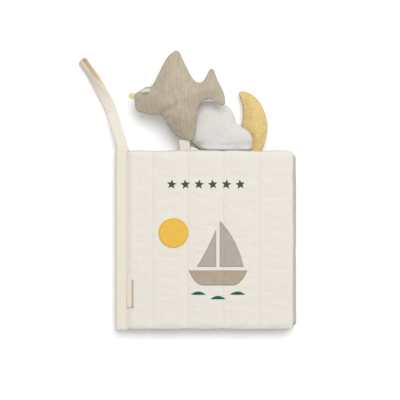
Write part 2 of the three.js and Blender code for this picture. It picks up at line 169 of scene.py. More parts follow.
def refine(piece, seam):
    # one round of Loop subdivision; seam points only slide along their seam, so it stays crisp
    mesh = piece.data
    mesh.calc_loop_triangles()
    count = len(mesh.vertices)
    co = places(piece)
    faces = np.zeros(len(mesh.loop_triangles) * 3, np.int64)
    mesh.loop_triangles.foreach_get("vertices", faces)
    faces = faces.reshape(-1, 3)
    corners = np.zeros(len(mesh.loops), np.int64)
    mesh.loops.foreach_get("vertex_index", corners)
    cloth = np.zeros(len(mesh.loops) * 2)
    mesh.uv_layers["cloth"].data.foreach_get("uv", cloth)
    uv = np.zeros((count, 2))
    uv[corners] = cloth.reshape(-1, 2)
    starts, ends, against = [np.roll(faces, -i, 1).ravel() for i in range(3)]
    keys = pairKeys(starts, ends, count)
    edges, first, which = np.unique(keys, return_index=True, return_inverse=True)
    a, b = starts[first], ends[first]
    wings = np.zeros((len(edges), 3))
    np.add.at(wings, which, co[against])
    number = np.bincount(which)
    between = co[a] + co[b]
    middle = np.where((number == 2)[:, None], 0.375 * between + 0.125 * wings, between / 2)
    alongSeam = seam[a] & seam[b]
    middle[alongSeam] = between[alongSeam] / 2
    around = np.zeros((count, 3))
    np.add.at(around, a, co[b])
    np.add.at(around, b, co[a])
    valence = np.bincount(np.concatenate([a, b]), minlength=count)
    beta = (3 / (8 * np.maximum(valence, 3)))[:, None]
    moved = co * (1 - valence[:, None] * beta) + around * beta
    seamAround = np.zeros((count, 3))
    np.add.at(seamAround, a[alongSeam], co[b[alongSeam]])
    np.add.at(seamAround, b[alongSeam], co[a[alongSeam]])
    seamCount = np.bincount(np.concatenate([a[alongSeam], b[alongSeam]]), minlength=count)
    held = seam & (seamCount == 2)
    moved[held] = 0.75 * co[held] + 0.125 * seamAround[held]
    moved[seam & ~held] = co[seam & ~held]
    m = which.reshape(-1, 3) + count
    split = [np.column_stack([faces[:, i], m[:, i], m[:, (i + 2) % 3]]) for i in range(3)]
    split = np.vstack([*split, m])
    fineUv = np.vstack([uv, (uv[a] + uv[b]) / 2])
    fresh = meshObject(piece.name + "_fine", np.vstack([moved, middle]), split, fineUv)
    piece.data = fresh.data
    bpy.data.objects.remove(fresh)
    bpy.data.meshes.remove(mesh)
    piece.data.name = piece.name


def surfaceOf(piece):
    piece.data.update()
    mesh = piece.data
    return BVHTree.FromPolygons([v.co for v in mesh.vertices], [p.vertices for p in mesh.polygons])


# Stuffed toys: two panels cut to the seam's outline, filled by cloth simulation
def seamRing(node):
    # the solid's outline in plan, halfway up the low wall that stands for its seam
    co = np.array([v.co for v in node.data.vertices])
    plan, which = np.unique(np.round(co[:, :2], 6), axis=0, return_inverse=True)
    which = which.ravel()
    low = np.full(len(plan), 9.0)
    high = np.full(len(plan), -9.0)
    np.minimum.at(low, which, co[:, 2])
    np.maximum.at(high, which, co[:, 2])
    onTop = np.abs(co[:, 2] - high[which]) < 1e-7
    nextPlace = {}
    for face in node.data.polygons:
        corners = list(face.vertices)
        if len({which[c] for c in corners}) == 2:  # a seam triangle stands on one edge of the outline
            for a, b in zip(corners, corners[1:] + corners[:1]):
                if which[a] != which[b] and onTop[a] and onTop[b]:
                    nextPlace[which[b]] = which[a]
    order = [next(iter(nextPlace))]
    while nextPlace[order[-1]] != order[0]:
        order.append(nextPlace[order[-1]])
    return np.array([(*plan[i], (low[i] + high[i]) / 2) for i in order])


def smoothRing(ring, spacing, rounds):
    # rounds off the facets but keeps the tips, where the outline turns sharply
    for _ in range(rounds):
        before, after = np.roll(ring, 1, 0), np.roll(ring, -1, 0)
        a, b = ring - before, after - ring
        turn = np.abs(np.arctan2(a[:, 0] * b[:, 1] - a[:, 1] * b[:, 0], (a[:, :2] * b[:, :2]).sum(1)))
        ease = np.where(turn > 0.9, 0, 0.25)[:, None]
        middle = np.empty((2 * len(ring), 3))
        middle[0::2] = ring * (1 - ease) + ease * (before + after) / 2
        middle[1::2] = (ring + after) / 2
        ring = middle
    lengths = np.linalg.norm(np.roll(ring, -1, 0) - ring, axis=1)
    total = lengths.sum()
    count = int(total / spacing)
    at = np.concatenate([[0], np.cumsum(lengths)])
    closed = np.vstack([ring, ring[:1]])
    wanted = np.arange(count) * total / count
    return np.stack([np.interp(wanted, at, closed[:, k]) for k in range(3)], 1)


def panelPoints(ring, spacing):
    # rows of points over the outline's box, clear of its edge
    low, high = ring.min(0), ring.max(0)
    rows = np.arange(low[1], high[1], spacing * math.sqrt(3) / 2)
    points = []
    for count, y in enumerate(rows):
        shift = spacing / 2 if count % 2 else 0
        points += [(x, y) for x in np.arange(low[0] + shift, high[0], spacing)]
    points = np.array(points)
    edge = ring[:, :2]
    far = np.array([np.min(np.hypot(*(edge - p).T)) for p in points]) > 0.6 * spacing
    return points[far]


def eased(values, faces, fixed, rounds):
    # evens out the facets of the sampled surface, the seam held
    a = np.array([(f[i], f[(i + 1) % 3]) for f in faces for i in range(3)])
    pairs = np.vstack([a, a[:, ::-1]])
    count = len(values)
    number = np.maximum(np.bincount(pairs[:, 0], minlength=count), 1)
    for _ in range(rounds):
        mean = np.bincount(pairs[:, 0], values[pairs[:, 1]], minlength=count) / number
        values = np.where(fixed, values, mean)
    return values


def letOut(ring, distance):
    # moves a closed outline outwards
    along = np.roll(ring, -1, 0) - np.roll(ring, 1, 0)
    outward = np.column_stack([along[:, 1], -along[:, 0]])
    outward /= np.linalg.norm(outward, axis=1)[:, None]
    area = np.sum(ring[:, 0] * np.roll(ring[:, 1], -1) - np.roll(ring[:, 0], -1) * ring[:, 1])
    let = ring.copy()
    let[:, :2] += outward * distance * (1 if area > 0 else -1)
    return let


def gathered(plan, ring, depth=0.3 * mm, wave=4.6 * mm, reach=3.6 * mm):
    # small gathers where the panels are drawn in along their seam
    steps = np.concatenate([[0], np.cumsum(np.linalg.norm(np.diff(ring[:, :2], axis=0), axis=1))])
    apart = np.linalg.norm(plan[:, None, :] - ring[None, :, :2], axis=2)
    nearest = apart.argmin(1)
    along = steps[nearest]
    ridge = np.sin(2 * math.pi * along / wave + 1.7 * np.sin(along / (2.7 * wave)))
    swing = 0.6 + 0.4 * np.sin(along / (1.9 * wave) + 1)
    return depth * ridge * swing * np.exp(-apart.min(1) / reach)


def toyPanels(name, node, spacing, outward, reshape=None):
    ring = letOut(smoothRing(seamRing(node), spacing, 2), outward)
    inner = panelPoints(ring, spacing)
    flat = [Vector(p[:2]) for p in ring] + [Vector(p) for p in inner]
    loop = list(range(len(ring)))
    points, _, faces, origin, _, _ = delaunay_2d_cdt(flat, [], [loop], 1, 1e-7)
    plan = np.array(points)
    count = len(plan)
    solid = surfaceOf(node)
    seam = np.zeros(count, bool)
    top = np.zeros(count)
    bottom = np.zeros(count)
    for i, p in enumerate(plan):
        if any(o < len(ring) for o in origin[i]):
            seam[i] = True
            top[i] = bottom[i] = ring[[o for o in origin[i] if o < len(ring)][0]][2]
            continue
        hitTop = solid.ray_cast(Vector((*p, 0.1)), Vector((0, 0, -1)))[0]
        hitBottom = solid.ray_cast(Vector((*p, -0.1)), Vector((0, 0, 1)))[0]
        near = min(ring, key=lambda r: (r[0] - p[0]) ** 2 + (r[1] - p[1]) ** 2)[2]
        top[i] = hitTop.z if hitTop else near + 0.4 * mm
        bottom[i] = hitBottom.z if hitBottom else near - 0.4 * mm
    top, bottom = eased(top, faces, seam, 14), eased(bottom, faces, seam, 14)
    gather = gathered(plan, ring)
    top, bottom = top + np.where(seam, 0, gather), bottom - np.where(seam, 0, gather)
    lower = np.where(seam, np.arange(count), count + np.cumsum(~seam) - 1)
    vertices = np.vstack([np.column_stack([plan, top]), np.column_stack([plan, bottom])[~seam]])
    allFaces = [tuple(f) for f in faces] + [tuple(lower[i] for i in reversed(f)) for f in faces]
    uv = np.vstack([plan, plan[~seam]])
    if reshape:
        vertices = reshape(vertices)
    piece = meshObject(name, vertices, allFaces, uv)
    bm = bmesh.new()
    bm.from_mesh(piece.data)
    bmesh.ops.recalc_face_normals(bm, faces=bm.faces)
    bm.to_mesh(piece.data)
    bm.free()
    return piece, np.concatenate([seam, np.zeros((~seam).sum(), bool)])


clothFeel = {"quality": 6, "mass": 0.3, "stretch": 15, "shear": 5, "bending": 0.05}


def inflate(piece, pinned, settings):
    # fills a closed piece by cloth simulation, its seam held; no point moves further than the cap
    settings = {**clothFeel, **settings}
    start = places(piece)
    group = piece.vertex_groups.new(name="seam")
    group.add([int(i) for i in np.flatnonzero(pinned)], 1.0, "REPLACE")
    cloth = piece.modifiers.new("cloth", "CLOTH")
    cloth.settings.quality = settings["quality"]
    cloth.settings.mass = settings["mass"]
    cloth.settings.tension_stiffness = settings["stretch"]
    cloth.settings.compression_stiffness = settings["stretch"]
    cloth.settings.shear_stiffness = settings["shear"]
    cloth.settings.bending_stiffness = settings["bending"]
    cloth.settings.use_pressure = True
    cloth.settings.uniform_pressure_force = settings["pressure"]
    cloth.settings.shrink_min = -settings["excess"]
    cloth.settings.effector_weights.gravity = 0
    cloth.settings.vertex_group_mass = "seam"
    cloth.collision_settings.use_collision = False
    cloth.point_cache.frame_start = 1
    cloth.point_cache.frame_end = settings["frames"] + 1
    scene = bpy.context.scene
    for step in range(1, settings["frames"] + 1):
        scene.frame_set(step)
    applyModifiers(piece)
    scene.frame_set(1)
    moved = places(piece) - start
    distance = np.linalg.norm(moved, axis=1)
    print("  ", piece.name, "moved", round(float(np.percentile(distance, 95)) / mm, 2), "mm")
    cap = settings["cap"]
    keep = np.where(distance > cap, cap / np.maximum(distance, 1e-9), 1)[:, None]
    setPlaces(piece, start + moved * keep)


# Cloth finishes. Each works from the flat cloth map in metres that every piece carries.
# Real plain cotton has a thread every 0.3 to 0.4 mm, too fine to show from here, so the weaves are
# drawn about twice as coarse.
twillRib = {"ribRate": 1.4, "ribShare": 0.36, "floatRate": 0.9, "floatShare": 0.14}


def weaveHeight(tree, u, v, spacing, twill=False):
    # threads over and under each other, a raised thread where the two waves agree; u and v in mm
    rate = math.pi / spacing
    if twill:  # ribs on the slant, broken where one float ends and the next begins
        both = addNode(tree, "Math", {0: u, 1: v}, operation="ADD")
        apart = addNode(tree, "Math", {0: u, 1: v}, operation="SUBTRACT")
        rib = addNode(tree, "Math", {0: both, 1: rate * twillRib["ribRate"]}, operation="MULTIPLY")
        rib = addNode(tree, "Math", {0: rib}, operation="SINE")
        floatRate = rate * twillRib["floatRate"]
        floats = addNode(tree, "Math", {0: apart, 1: floatRate, 2: rib}, operation="MULTIPLY_ADD")
        floats = addNode(tree, "Math", {0: floats}, operation="SINE")
        share = twillRib["floatShare"]
        height = addNode(tree, "Math", {0: floats, 1: share, 2: 0.5}, operation="MULTIPLY_ADD")
        share = twillRib["ribShare"]
        return addNode(tree, "Math", {0: rib, 1: share, 2: height}, operation="MULTIPLY_ADD")
    across = addNode(tree, "Math", {0: u, 1: rate}, operation="MULTIPLY")
    along = addNode(tree, "Math", {0: v, 1: rate}, operation="MULTIPLY")
    a = addNode(tree, "Math", {0: across}, operation="SINE")
    b = addNode(tree, "Math", {0: along}, operation="SINE")
    crossed = addNode(tree, "Math", {0: a, 1: b}, operation="MULTIPLY")
    return addNode(tree, "Math", {0: crossed, 1: 0.5, 2: 0.5}, operation="MULTIPLY_ADD")


def clothMaterial(name, look):
    # sizes in look are in mm: thread spacing, slub (across, along), blotch, relief and
    # crinkle (across, along, depth)
    usual = {
        "blotchShare": 0.3, "relief": 0.05, "roughness": 0.92, "sheen": 0.1, "specular": 0.25,
        "warpShare": 0.5,
    }
    look = {**usual, **look}
    material, tree = emptyMaterial(name)
    cloth = addNode(tree, "UVMap", uv_map="cloth")
    millimetres = addNode(tree, "VectorMath", {0: cloth, 1: (1000, 1000, 1000)}, operation="MULTIPLY")
    u, v, _ = addNode(tree, "SeparateXYZ", {0: millimetres}).node.outputs
    weave = weaveHeight(tree, u, v, look["thread"], look.get("twill", False))

    def streaks(acrossMm, alongMm, detail=2):
        scale = (1 / acrossMm, 1 / alongMm, 1)
        stretched = addNode(tree, "VectorMath", {0: millimetres, 1: scale}, operation="MULTIPLY")
        return addNode(tree, "TexNoise", {
            "Vector": stretched, "Scale": 1.0, "Detail": detail, "Roughness": 0.6,
        })

    def tinted(colour, share, hexColour):
        return addNode(tree, "Mix", {0: share, 6: colour, 7: linear(hexColour)}, data_type="RGBA")

    warp = streaks(*look["slub"])
    weft = streaks(*look["slub"][::-1])
    blotch = streaks(look["blotch"], look["blotch"], 3)
    share = look["warpShare"]
    uneven = addNode(tree, "Math", {0: warp, 1: share}, operation="MULTIPLY")
    uneven = addNode(tree, "Math", {0: weft, 1: 1 - share, 2: uneven}, operation="MULTIPLY_ADD")
    # the noise keeps to the middle of its range, so that part is drawn out to the full share
    yarn = addNode(tree, "MapRange", {0: uneven, 1: 0.34, 2: 0.66})
    colour = tinted(linear(look["dark"]), yarn, look["light"])
    patchy = addNode(tree, "MapRange", {0: blotch, 1: 0.3, 2: 0.7, 3: 0, 4: look["blotchShare"]})
    colour = tinted(colour, patchy, look["blotchColour"])
    # painted shade: the weave's hollows between the raised threads are darkened towards the hollow
    # colour
    hollowShading = addNode(tree, "MapRange", {0: weave, 1: 0.0, 2: 0.6, 3: look["hollowShade"], 4: 0})
    colour = tinted(colour, hollowShading, look["hollowShadeColour"])
    if "innerFaceGlow" in look:  # painted light: where the strap's inner face ends across the cloth map, and the warmer, lighter colour painted on it for the light that shines through the cloth
        end, inner = look["innerFaceGlow"]
        inside = addNode(tree, "Math", {0: u, 1: end}, operation="LESS_THAN")
        inside = addNode(tree, "Math", {0: inside, 1: 0.85}, operation="MULTIPLY")
        colour = tinted(colour, inside, inner)
    if "foldShade" in look:  # painted shade: a dark line along the fold, where its edge stands in shade; its place along the cloth, reach and colour
        place, reach, shade = look["foldShade"]
        apart = addNode(tree, "Math", {0: v, 1: place}, operation="SUBTRACT")
        apart = addNode(tree, "Math", {0: apart}, operation="ABSOLUTE")
        near = addNode(tree, "MapRange", {0: apart, 1: 0.4 * reach, 2: reach, 3: 0.9, 4: 0})
        colour = tinted(colour, near, shade)
    relief = addNode(tree, "Math", {0: uneven, 1: 0.8, 2: weave}, operation="MULTIPLY_ADD")
    bump = addNode(tree, "Bump", {"Height": relief, "Distance": look["relief"] * mm, "Strength": 1.0})
    across, along, depth = look["crinkle"]
    bump = addNode(tree, "Bump", {
        "Height": streaks(across, along, 3), "Distance": depth * mm, "Strength": 1.0, "Normal": bump,
    })
    shader = addNode(tree, "BsdfPrincipled", {
        "Base Color": colour, "Normal": bump, "Roughness": look["roughness"],
        "Specular IOR Level": look["specular"], "Sheen Weight": look["sheen"], "Sheen Roughness": 0.5,
        "Sheen Tint": linear(look["light"]), "IOR": 1.5,
    })
    addNode(tree, "OutputMaterial", {0: shader})
    return material


# Quilting cotton: matt plain weave, off-white; gives a soft even face with faint threads
quiltingCotton = clothMaterial("quilting cotton, woven", {
    "thread": 0.7, "slub": (0.6, 9), "dark": "#e6e1d6", "light": "#f1ede4", "blotch": 26,
    "blotchColour": "#ebe4d8", "hollowShade": 0.12, "hollowShadeColour": "#cfc7b8", "crinkle": (5, 7, 0.25),
    "sheen": 0.12,
})
# Sage cotton of the inner leaves: the same weave, dyed grey green
sageCotton = clothMaterial("sage cotton, woven", {
    "thread": 0.7, "slub": (0.6, 9), "dark": "#c2c0b2", "light": "#d2d0c3", "blotch": 26,
    "blotchColour": "#c4c1b0", "hollowShade": 0.15, "hollowShadeColour": "#a5a397", "crinkle": (5, 7, 0.25),
})
# Binding cotton: a cream strip, folded and pressed, so it lies smoother than the cover
bindingCotton = clothMaterial("binding cotton, pressed", {
    "thread": 0.6, "slub": (0.6, 8), "dark": "#e8e0d0", "light": "#f2ebde", "blotch": 14,
    "blotchColour": "#eadfcd", "hollowShade": 0.12, "hollowShadeColour": "#cdc2ae", "crinkle": (3, 6, 0.2),
    "roughness": 0.9,
})
# Strap cotton: heavy cream cotton folded to a strap, with painted light on the face inside its loop,
# warmer and lighter for the light that shines through the cloth
strapCotton = clothMaterial("strap cotton, folded", {
    "thread": 0.8, "slub": (0.7, 12), "dark": "#e9e2d2", "light": "#f6f0e4", "blotch": 12,
    "blotchShare": 0.25, "blotchColour": "#eae0cf", "hollowShade": 0.14, "hollowShadeColour": "#cfc4ae",
    "relief": 0.08, "crinkle": (3, 8, 0.25), "innerFaceGlow": (6.1, "#fff0d2"),
})
# Twill tape: cream cotton tape with ribs on the slant
tapeTwill = clothMaterial("cotton twill tape", {
    "thread": 0.9, "twill": True, "slub": (0.8, 14), "dark": "#ece5d4", "light": "#f7f1e4",
    "blotch": 10, "blotchShare": 0.2, "blotchColour": "#ebe2d0", "hollowShade": 0.25,
    "hollowShadeColour": "#cfc5b0", "relief": 0.1, "crinkle": (3, 8, 0.15), "roughness": 0.9,
})
# Satin ribbon: bare label, smooth long floats with a low gloss and a line of painted shade along its
# fold
labelSatin = clothMaterial("satin ribbon, bare", {
    "thread": 0.45, "slub": (0.5, 6), "dark": "#efe4d2", "light": "#f8efdf", "blotch": 8,
    "blotchShare": 0.2, "blotchColour": "#e6d8c2", "hollowShade": 0.1, "hollowShadeColour": "#cbbda4",
    "relief": 0.03, "crinkle": (3, 5, 0.12), "roughness": 0.55, "specular": 0.4,
    "foldShade": (7.1, 1.6, "#aea28c"),
})
# Linen: thick and thin yarns, so streaks both ways and a coarse open face; real yarns are 0.5 mm
# apart, drawn three times as coarse so that they show
birdLinen = clothMaterial("taupe linen, slubby", {
    "thread": 1.5, "slub": (1.5, 16), "warpShare": 0.65, "dark": "#b1a48d", "light": "#cec4b1",
    "blotch": 22, "blotchColour": "#bbae98", "hollowShade": 0.25, "hollowShadeColour": "#958873",
    "relief": 0.16, "crinkle": (6, 8, 0.4), "roughness": 0.95, "sheen": 0.12,
})
# Muslin: loose soft weave that crinkles, pale grey
cloudMuslin = clothMaterial("grey muslin, crinkled", {
    "thread": 1.0, "slub": (1.2, 8), "dark": "#dad7d1", "light": "#e4e2de", "blotch": 18,
    "blotchShare": 0.35, "blotchColour": "#dad6d6", "hollowShade": 0.05, "hollowShadeColour": "#c4bfb8",
    "crinkle": (3.5, 6, 0.4), "roughness": 0.95, "sheen": 0.15,
})
# Mustard twill cotton: dyed, with a slanting rib; the real rib is about 1 mm, drawn twice as coarse
moonTwill = clothMaterial("mustard cotton twill", {
    "thread": 2.1, "twill": True, "slub": (1.6, 5), "dark": "#dab969", "light": "#f6e3ac",
    "blotch": 15, "blotchShare": 0.4, "blotchColour": "#e4c274", "hollowShade": 0.42,
    "hollowShadeColour": "#c9a358", "relief": 0.22, "crinkle": (3.5, 5, 0.45), "roughness": 0.93,
    "sheen": 0.12,
})
# Beak cotton: pale yellow plain weave
beakCotton = clothMaterial("pale yellow cotton", {
    "thread": 0.6, "slub": (0.5, 5), "dark": "#ddd19a", "light": "#eee4b8", "blotch": 5,
    "blotchColour": "#ddcb94", "hollowShade": 0.15, "hollowShadeColour": "#b8a873", "relief": 0.06,
    "crinkle": (2, 3, 0.15),
})


def printedCotton(name, dark, light):
    # Printed cotton: the ink lies in the yarn, and the weave shows through with painted shade in its
    # hollows, so the thread tops look lighter
    return clothMaterial(name, {
        "thread": 0.7, "slub": (0.7, 7), "dark": dark, "light": light, "blotch": 9,
        "blotchShare": 0.35, "blotchColour": dark, "hollowShade": 0.15, "hollowShadeColour": dark,
        "crinkle": (4, 6, 0.2), "roughness": 0.9,
    })


hullCotton = printedCotton("printed cotton, taupe", "#ab9c86", "#c2b49e")
sailCotton = printedCotton("printed cotton, warm grey", "#a8a397", "#c2beb3")
sunCotton = printedCotton("printed cotton, mustard", "#e8b43c", "#f4cd6a")
waveCotton = printedCotton("printed cotton, teal", "#174f4a", "#2f736c")


def threadMaterial(name, colour, shade):
    # Sewing thread: two plies twisted, 0.6 mm from ply to ply, with a small gloss
    material, tree = emptyMaterial(name)
    place = addNode(tree, "TexCoord").node.outputs["Object"]
    fibre = addNode(tree, "TexNoise", {"Vector": place, "Scale": 1 / (0.6 * mm), "Detail": 2})
    mixed = addNode(tree, "Mix", {0: fibre, 6: linear(shade), 7: linear(colour)}, data_type="RGBA")
    bump = addNode(tree, "Bump", {"Height": fibre, "Distance": 0.06 * mm})
    shader = addNode(tree, "BsdfPrincipled", {
        "Base Color": mixed, "Normal": bump, "Roughness": 0.7, "Specular IOR Level": 0.3,
        "Sheen Weight": 0.1,
    })
    addNode(tree, "OutputMaterial", {0: shader})
    return material


creamThread = threadMaterial("cream sewing thread", "#efe9dc", "#d9d0bf")
greyThread = threadMaterial("dark grey embroidery thread", "#58585a", "#414143")
taupeThread = threadMaterial("taupe sewing thread", "#b5a791", "#978a74")
sailThread = threadMaterial("warm grey sewing thread", "#b4afa4", "#989387")
sunThread = threadMaterial("mustard sewing thread", "#efc257", "#d19f34")
eyeWhite = threadMaterial("white embroidery thread", "#f2f0ea", "#dcd9cf")
eyeGrey = threadMaterial("grey green embroidery thread", "#a9ad9f", "#8b8f81")
print("materials made")


def finishPiece(piece, material, body):
    piece.data.materials.clear()
    piece.data.materials.append(material)
    if body:
        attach(piece, body)


def subdivide(piece):
    smooth = piece.modifiers.new("smooth", "SUBSURF")
    smooth.levels = smooth.render_levels = 1
    applyModifiers(piece)
    piece.data.polygons.foreach_set("use_smooth", [True] * len(piece.data.polygons))


# Quilted leaves: two layers of cloth over wadding, sewn together along straight lines
stitchLines = [-60 * mm, -20 * mm, 20 * mm, 60 * mm]
halfHeight = 100 * mm
leafShape = {
    "spacing": 2.5 * mm,  # of the cloth's points
    "scallop": 0.9 * mm,  # a channel's end bulges past its stitch lines
    "scallopFrom": 6 * mm,
    "seam": 1.4 * mm,  # thickness where it is sewn
    "fullness": 1.12,  # how soon a channel reaches its full thickness
    "edgeRounding": 8 * mm,
    "corner": 3.2 * mm,
    "sway": 0.22 * mm,  # of the edges, over this reach inwards
    "swayReach": 9 * mm,
    "foreWaves": (17 * mm, 7.3 * mm),
    "headWaves": (19 * mm, 8.1 * mm),
    "underBinding": 2.0 * mm,
    "spineDrop": 1.7 * mm,  # the spine edges are drawn together by the binding
    "dropReach": 7 * mm,
    "spineEase": 16 * mm,  # the wadding is pressed this far from the binding, by this share
    "pressedBy": 0.45,
    "foreSlack": 1.2 * mm,  # the front cover ends this far short of its solid
    "backSlack": 0.6 * mm,  # the back cover is this much thinner than its solid
    "backSpacing": 2.8 * mm,
}
innerLeaf = {
    "count": 2, "thickness": 4.5 * mm, "gap": 0.3 * mm, "slack": 0.4 * mm,
    "inset": 3.6 * mm,  # from the covers' head and tail edges
    "underBinding": 2 * mm,  # further in than the covers
    "spacing": 3.4 * mm,
}
leafCloth = {"pressure": 4, "excess": 0.0058, "frames": 14, "cap": 1.2 * mm, "bending": 0.3}


def channelShares(x, left, right):
    # how far across its channel each place lies, from 0 at one stitch line to 1 at the next
    bounds = np.array([left, *stitchLines, right])
    channel = np.clip(np.searchsorted(bounds, x) - 1, 0, len(bounds) - 2)
    return np.clip((x - bounds[channel]) / np.diff(bounds)[channel], 0, 1)


def leafSwell(x, y, left, corner):
    share = channelShares(x, left, corner[0])
    arch = np.sqrt(np.maximum(0, 4 * share * (1 - share)))
    crown = np.clip(arch * leafShape["fullness"], 0, 1) ** 0.9
    pressed = leafShape["pressedBy"]
    crown *= 1 - pressed + pressed * smoothstep(x, left + 2 * mm, left + leafShape["spineEase"])
    edge = np.clip((corner[1] - np.abs(y)) / leafShape["edgeRounding"], 0, 1)
    return crown * np.sqrt(np.clip(1 - (1 - edge) ** 2, 0, 1))


def swayed(along, wave, ripple, phase):
    swing = np.sin(along / wave + phase[0]) + 0.6 * np.sin(along / ripple + phase[1])
    return leafShape["sway"] * swing


def quiltedLeaf(name, left, corner, middle, thickness, seed, drop=0.0, step=leafShape["spacing"]):
    # corner is the leaf's fore edge and half its height
    right, halfTall = corner
    draw = np.random.default_rng(seed)
    bounds = [left, *stitchLines, right]
    cross = []
    for a, b in zip(bounds, bounds[1:]):
        count = int((b - a) / step)
        cross += [a + (b - a) * i / count for i in range(count)]
    lengthways = int(2 * halfTall / step)
    rises = [-halfTall + 2 * halfTall * i / lengthways for i in range(lengthways)]
    ring = [(x, -halfTall) for x in cross] + [(right, y) for y in rises]
    ring += [(x, halfTall) for x in reversed(cross[1:] + [right])] + [(left, -y) for y in rises]
    ring = np.array(ring)
    rows = np.linspace(-halfTall, halfTall, lengthways + 1)[1:-1]
    lines = [(x, y) for x in stitchLines for y in rows]
    inner = panelPoints(np.column_stack([ring, np.zeros(len(ring))]), step)
    inner = inner[np.min(np.abs(inner[:, :1] - np.array([stitchLines])), axis=1) > 0.5 * step]
    inner = inner + draw.uniform(-0.12, 0.12, inner.shape) * step  # so that no rows show in the cloth
    flat = [Vector(p) for p in [*ring, *lines, *inner]]
    points, _, faces, origin, _, _ = delaunay_2d_cdt(flat, [], [list(range(len(ring)))], 1, 1e-7)
    plan = np.array(points)
    edge = np.array([any(o < len(ring) for o in f) for f in origin])
    sewn = edge | np.array([any(len(ring) <= o < len(ring) + len(lines) for o in f) for f in origin])
    swell = leafSwell(plan[:, 0], plan[:, 1], left, corner)
    half = (leafShape["seam"] + (thickness - leafShape["seam"]) * swell) / 2
    level = middle + drop * smoothstep(-plan[:, 0], -left - leafShape["dropReach"], -left)
    high = np.abs(plan[:, 1])
    share = channelShares(plan[:, 0], left, right)
    near = smoothstep(high, halfTall - leafShape["scallopFrom"], halfTall) * np.sign(plan[:, 1])
    grown = plan.copy()
    grown[:, 1] += near * leafShape["scallop"] * np.sqrt(np.maximum(0, 4 * share * (1 - share)))
    # the corners at the fore edge are turned round, and the edges run a little unevenly
    radius, reach = leafShape["corner"], leafShape["swayReach"]
    u, v = radius - (right - plan[:, 0]), radius - (halfTall - high)
    turned = (u > 0) & (v > 0)
    pull = np.where(turned, np.maximum(u, v) / np.maximum(np.hypot(u, v), 1e-9), 1)
    grown[:, 0] -= np.where(turned, u * (1 - pull), 0)
    grown[:, 1] -= np.where(turned, v * (1 - pull), 0) * np.sign(plan[:, 1])
    phase = draw.uniform(0, 6.28, 4)
    straight = pull > 0.99
    sway = swayed(plan[:, 1], *leafShape["foreWaves"], phase[:2])
    grown[:, 0] += sway * smoothstep(plan[:, 0], right - reach, right) * straight
    sway = swayed(plan[:, 0], *leafShape["headWaves"], phase[2:])
    grown[:, 1] += sway * smoothstep(high, halfTall - reach, halfTall) * straight
    count, free = len(plan), ~edge
    lower = np.where(edge, np.arange(count), count + np.cumsum(free) - 1)
    upper = np.column_stack([grown, level + np.where(edge, 0, half)])
    under = np.column_stack([grown, level - half])[free]
    allFaces = [tuple(f) for f in faces] + [tuple(lower[i] for i in reversed(f)) for f in faces]
    piece = meshObject(name, np.vstack([upper, under]), allFaces, np.vstack([plan, plan[free]]))
    pinned = np.concatenate([sewn, sewn[free]])
    inflate(piece, pinned, leafCloth)
    refine(piece, pinned)
    restOnTable(piece)
    return piece


def boxOf(node):
    low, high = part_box(node)
    return np.array(low), np.array(high)


low, high = boxOf("front_cover")
coverMiddle = (low[2] + high[2]) / 2
spineEdge = low[0] - leafShape["underBinding"]
coverCorner = (high[0] - leafShape["foreSlack"], halfHeight)
drop = leafShape["spineDrop"]
frontCover = quiltedLeaf(
    "front_cover_quilted", spineEdge, coverCorner, coverMiddle, high[2] - low[2],
    seed=3, drop=-drop,
)
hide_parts("front_cover")
finishPiece(frontCover, quiltingCotton, None)

lowBack, highBack = boxOf("back_cover")
backMiddle = (lowBack[2] + highBack[2]) / 2
backThickness = highBack[2] - lowBack[2] - leafShape["backSlack"]
backCorner = (highBack[0], halfHeight)
backCover = quiltedLeaf(
    "back_cover_quilted", spineEdge, backCorner, backMiddle, backThickness,
    seed=4, drop=drop, step=leafShape["backSpacing"],
)
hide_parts("back_cover")
finishPiece(backCover, quiltingCotton, None)

leafCorner = (boxOf("page_block")[1][0], halfHeight - innerLeaf["inset"])
for count in range(innerLeaf["count"]):
    pitch = innerLeaf["thickness"] + innerLeaf["gap"]
    middle = highBack[2] + innerLeaf["gap"] + innerLeaf["thickness"] / 2 + count * pitch
    thickness = innerLeaf["thickness"] - innerLeaf["slack"]
    leaf = quiltedLeaf(
        f"inner_leaf_{count + 1}", spineEdge - innerLeaf["underBinding"], leafCorner, middle,
        thickness, seed=5 + count, step=innerLeaf["spacing"],
    )
    finishPiece(leaf, sageCotton, "pages")
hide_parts("page_block")
print("leaves quilted")


# Spine binding: a cotton strip folded round the sewn spine edges, its long edges turned in
bindingShape = {
    "wall": 0.9 * mm,
    "rounding": 3.6 * mm,
    "edgeLift": 0.7 * mm,  # the sewn edges stand a little off the covers, over this reach
    "edgeReach": 4 * mm,
    "pucker": 0.12 * mm,  # between the stitches
    "puckerWave": 1.45 * mm,
    "wobble": 0.25 * mm,
    "swell": (0.15 * mm, 0.12 * mm),  # of its faces, and how much that varies along it
    "seamInset": 1.7 * mm,  # of its stitching from its edges
    "creaseAt": -96.3 * mm,
    "creaseDepth": 0.35 * mm,
    "creaseWidth": 0.8 * mm,
    "rows": 150,
}
# The sewn spine edges of all the leaves fill the binding from its wall inwards
spineCore = {
    "inside": 1.3 * mm, "pastEdge": 2 * mm, "rounding": 2.4 * mm, "wall": 4.4 * mm,
    "inset": 0.4 * mm, "rows": 40,
}


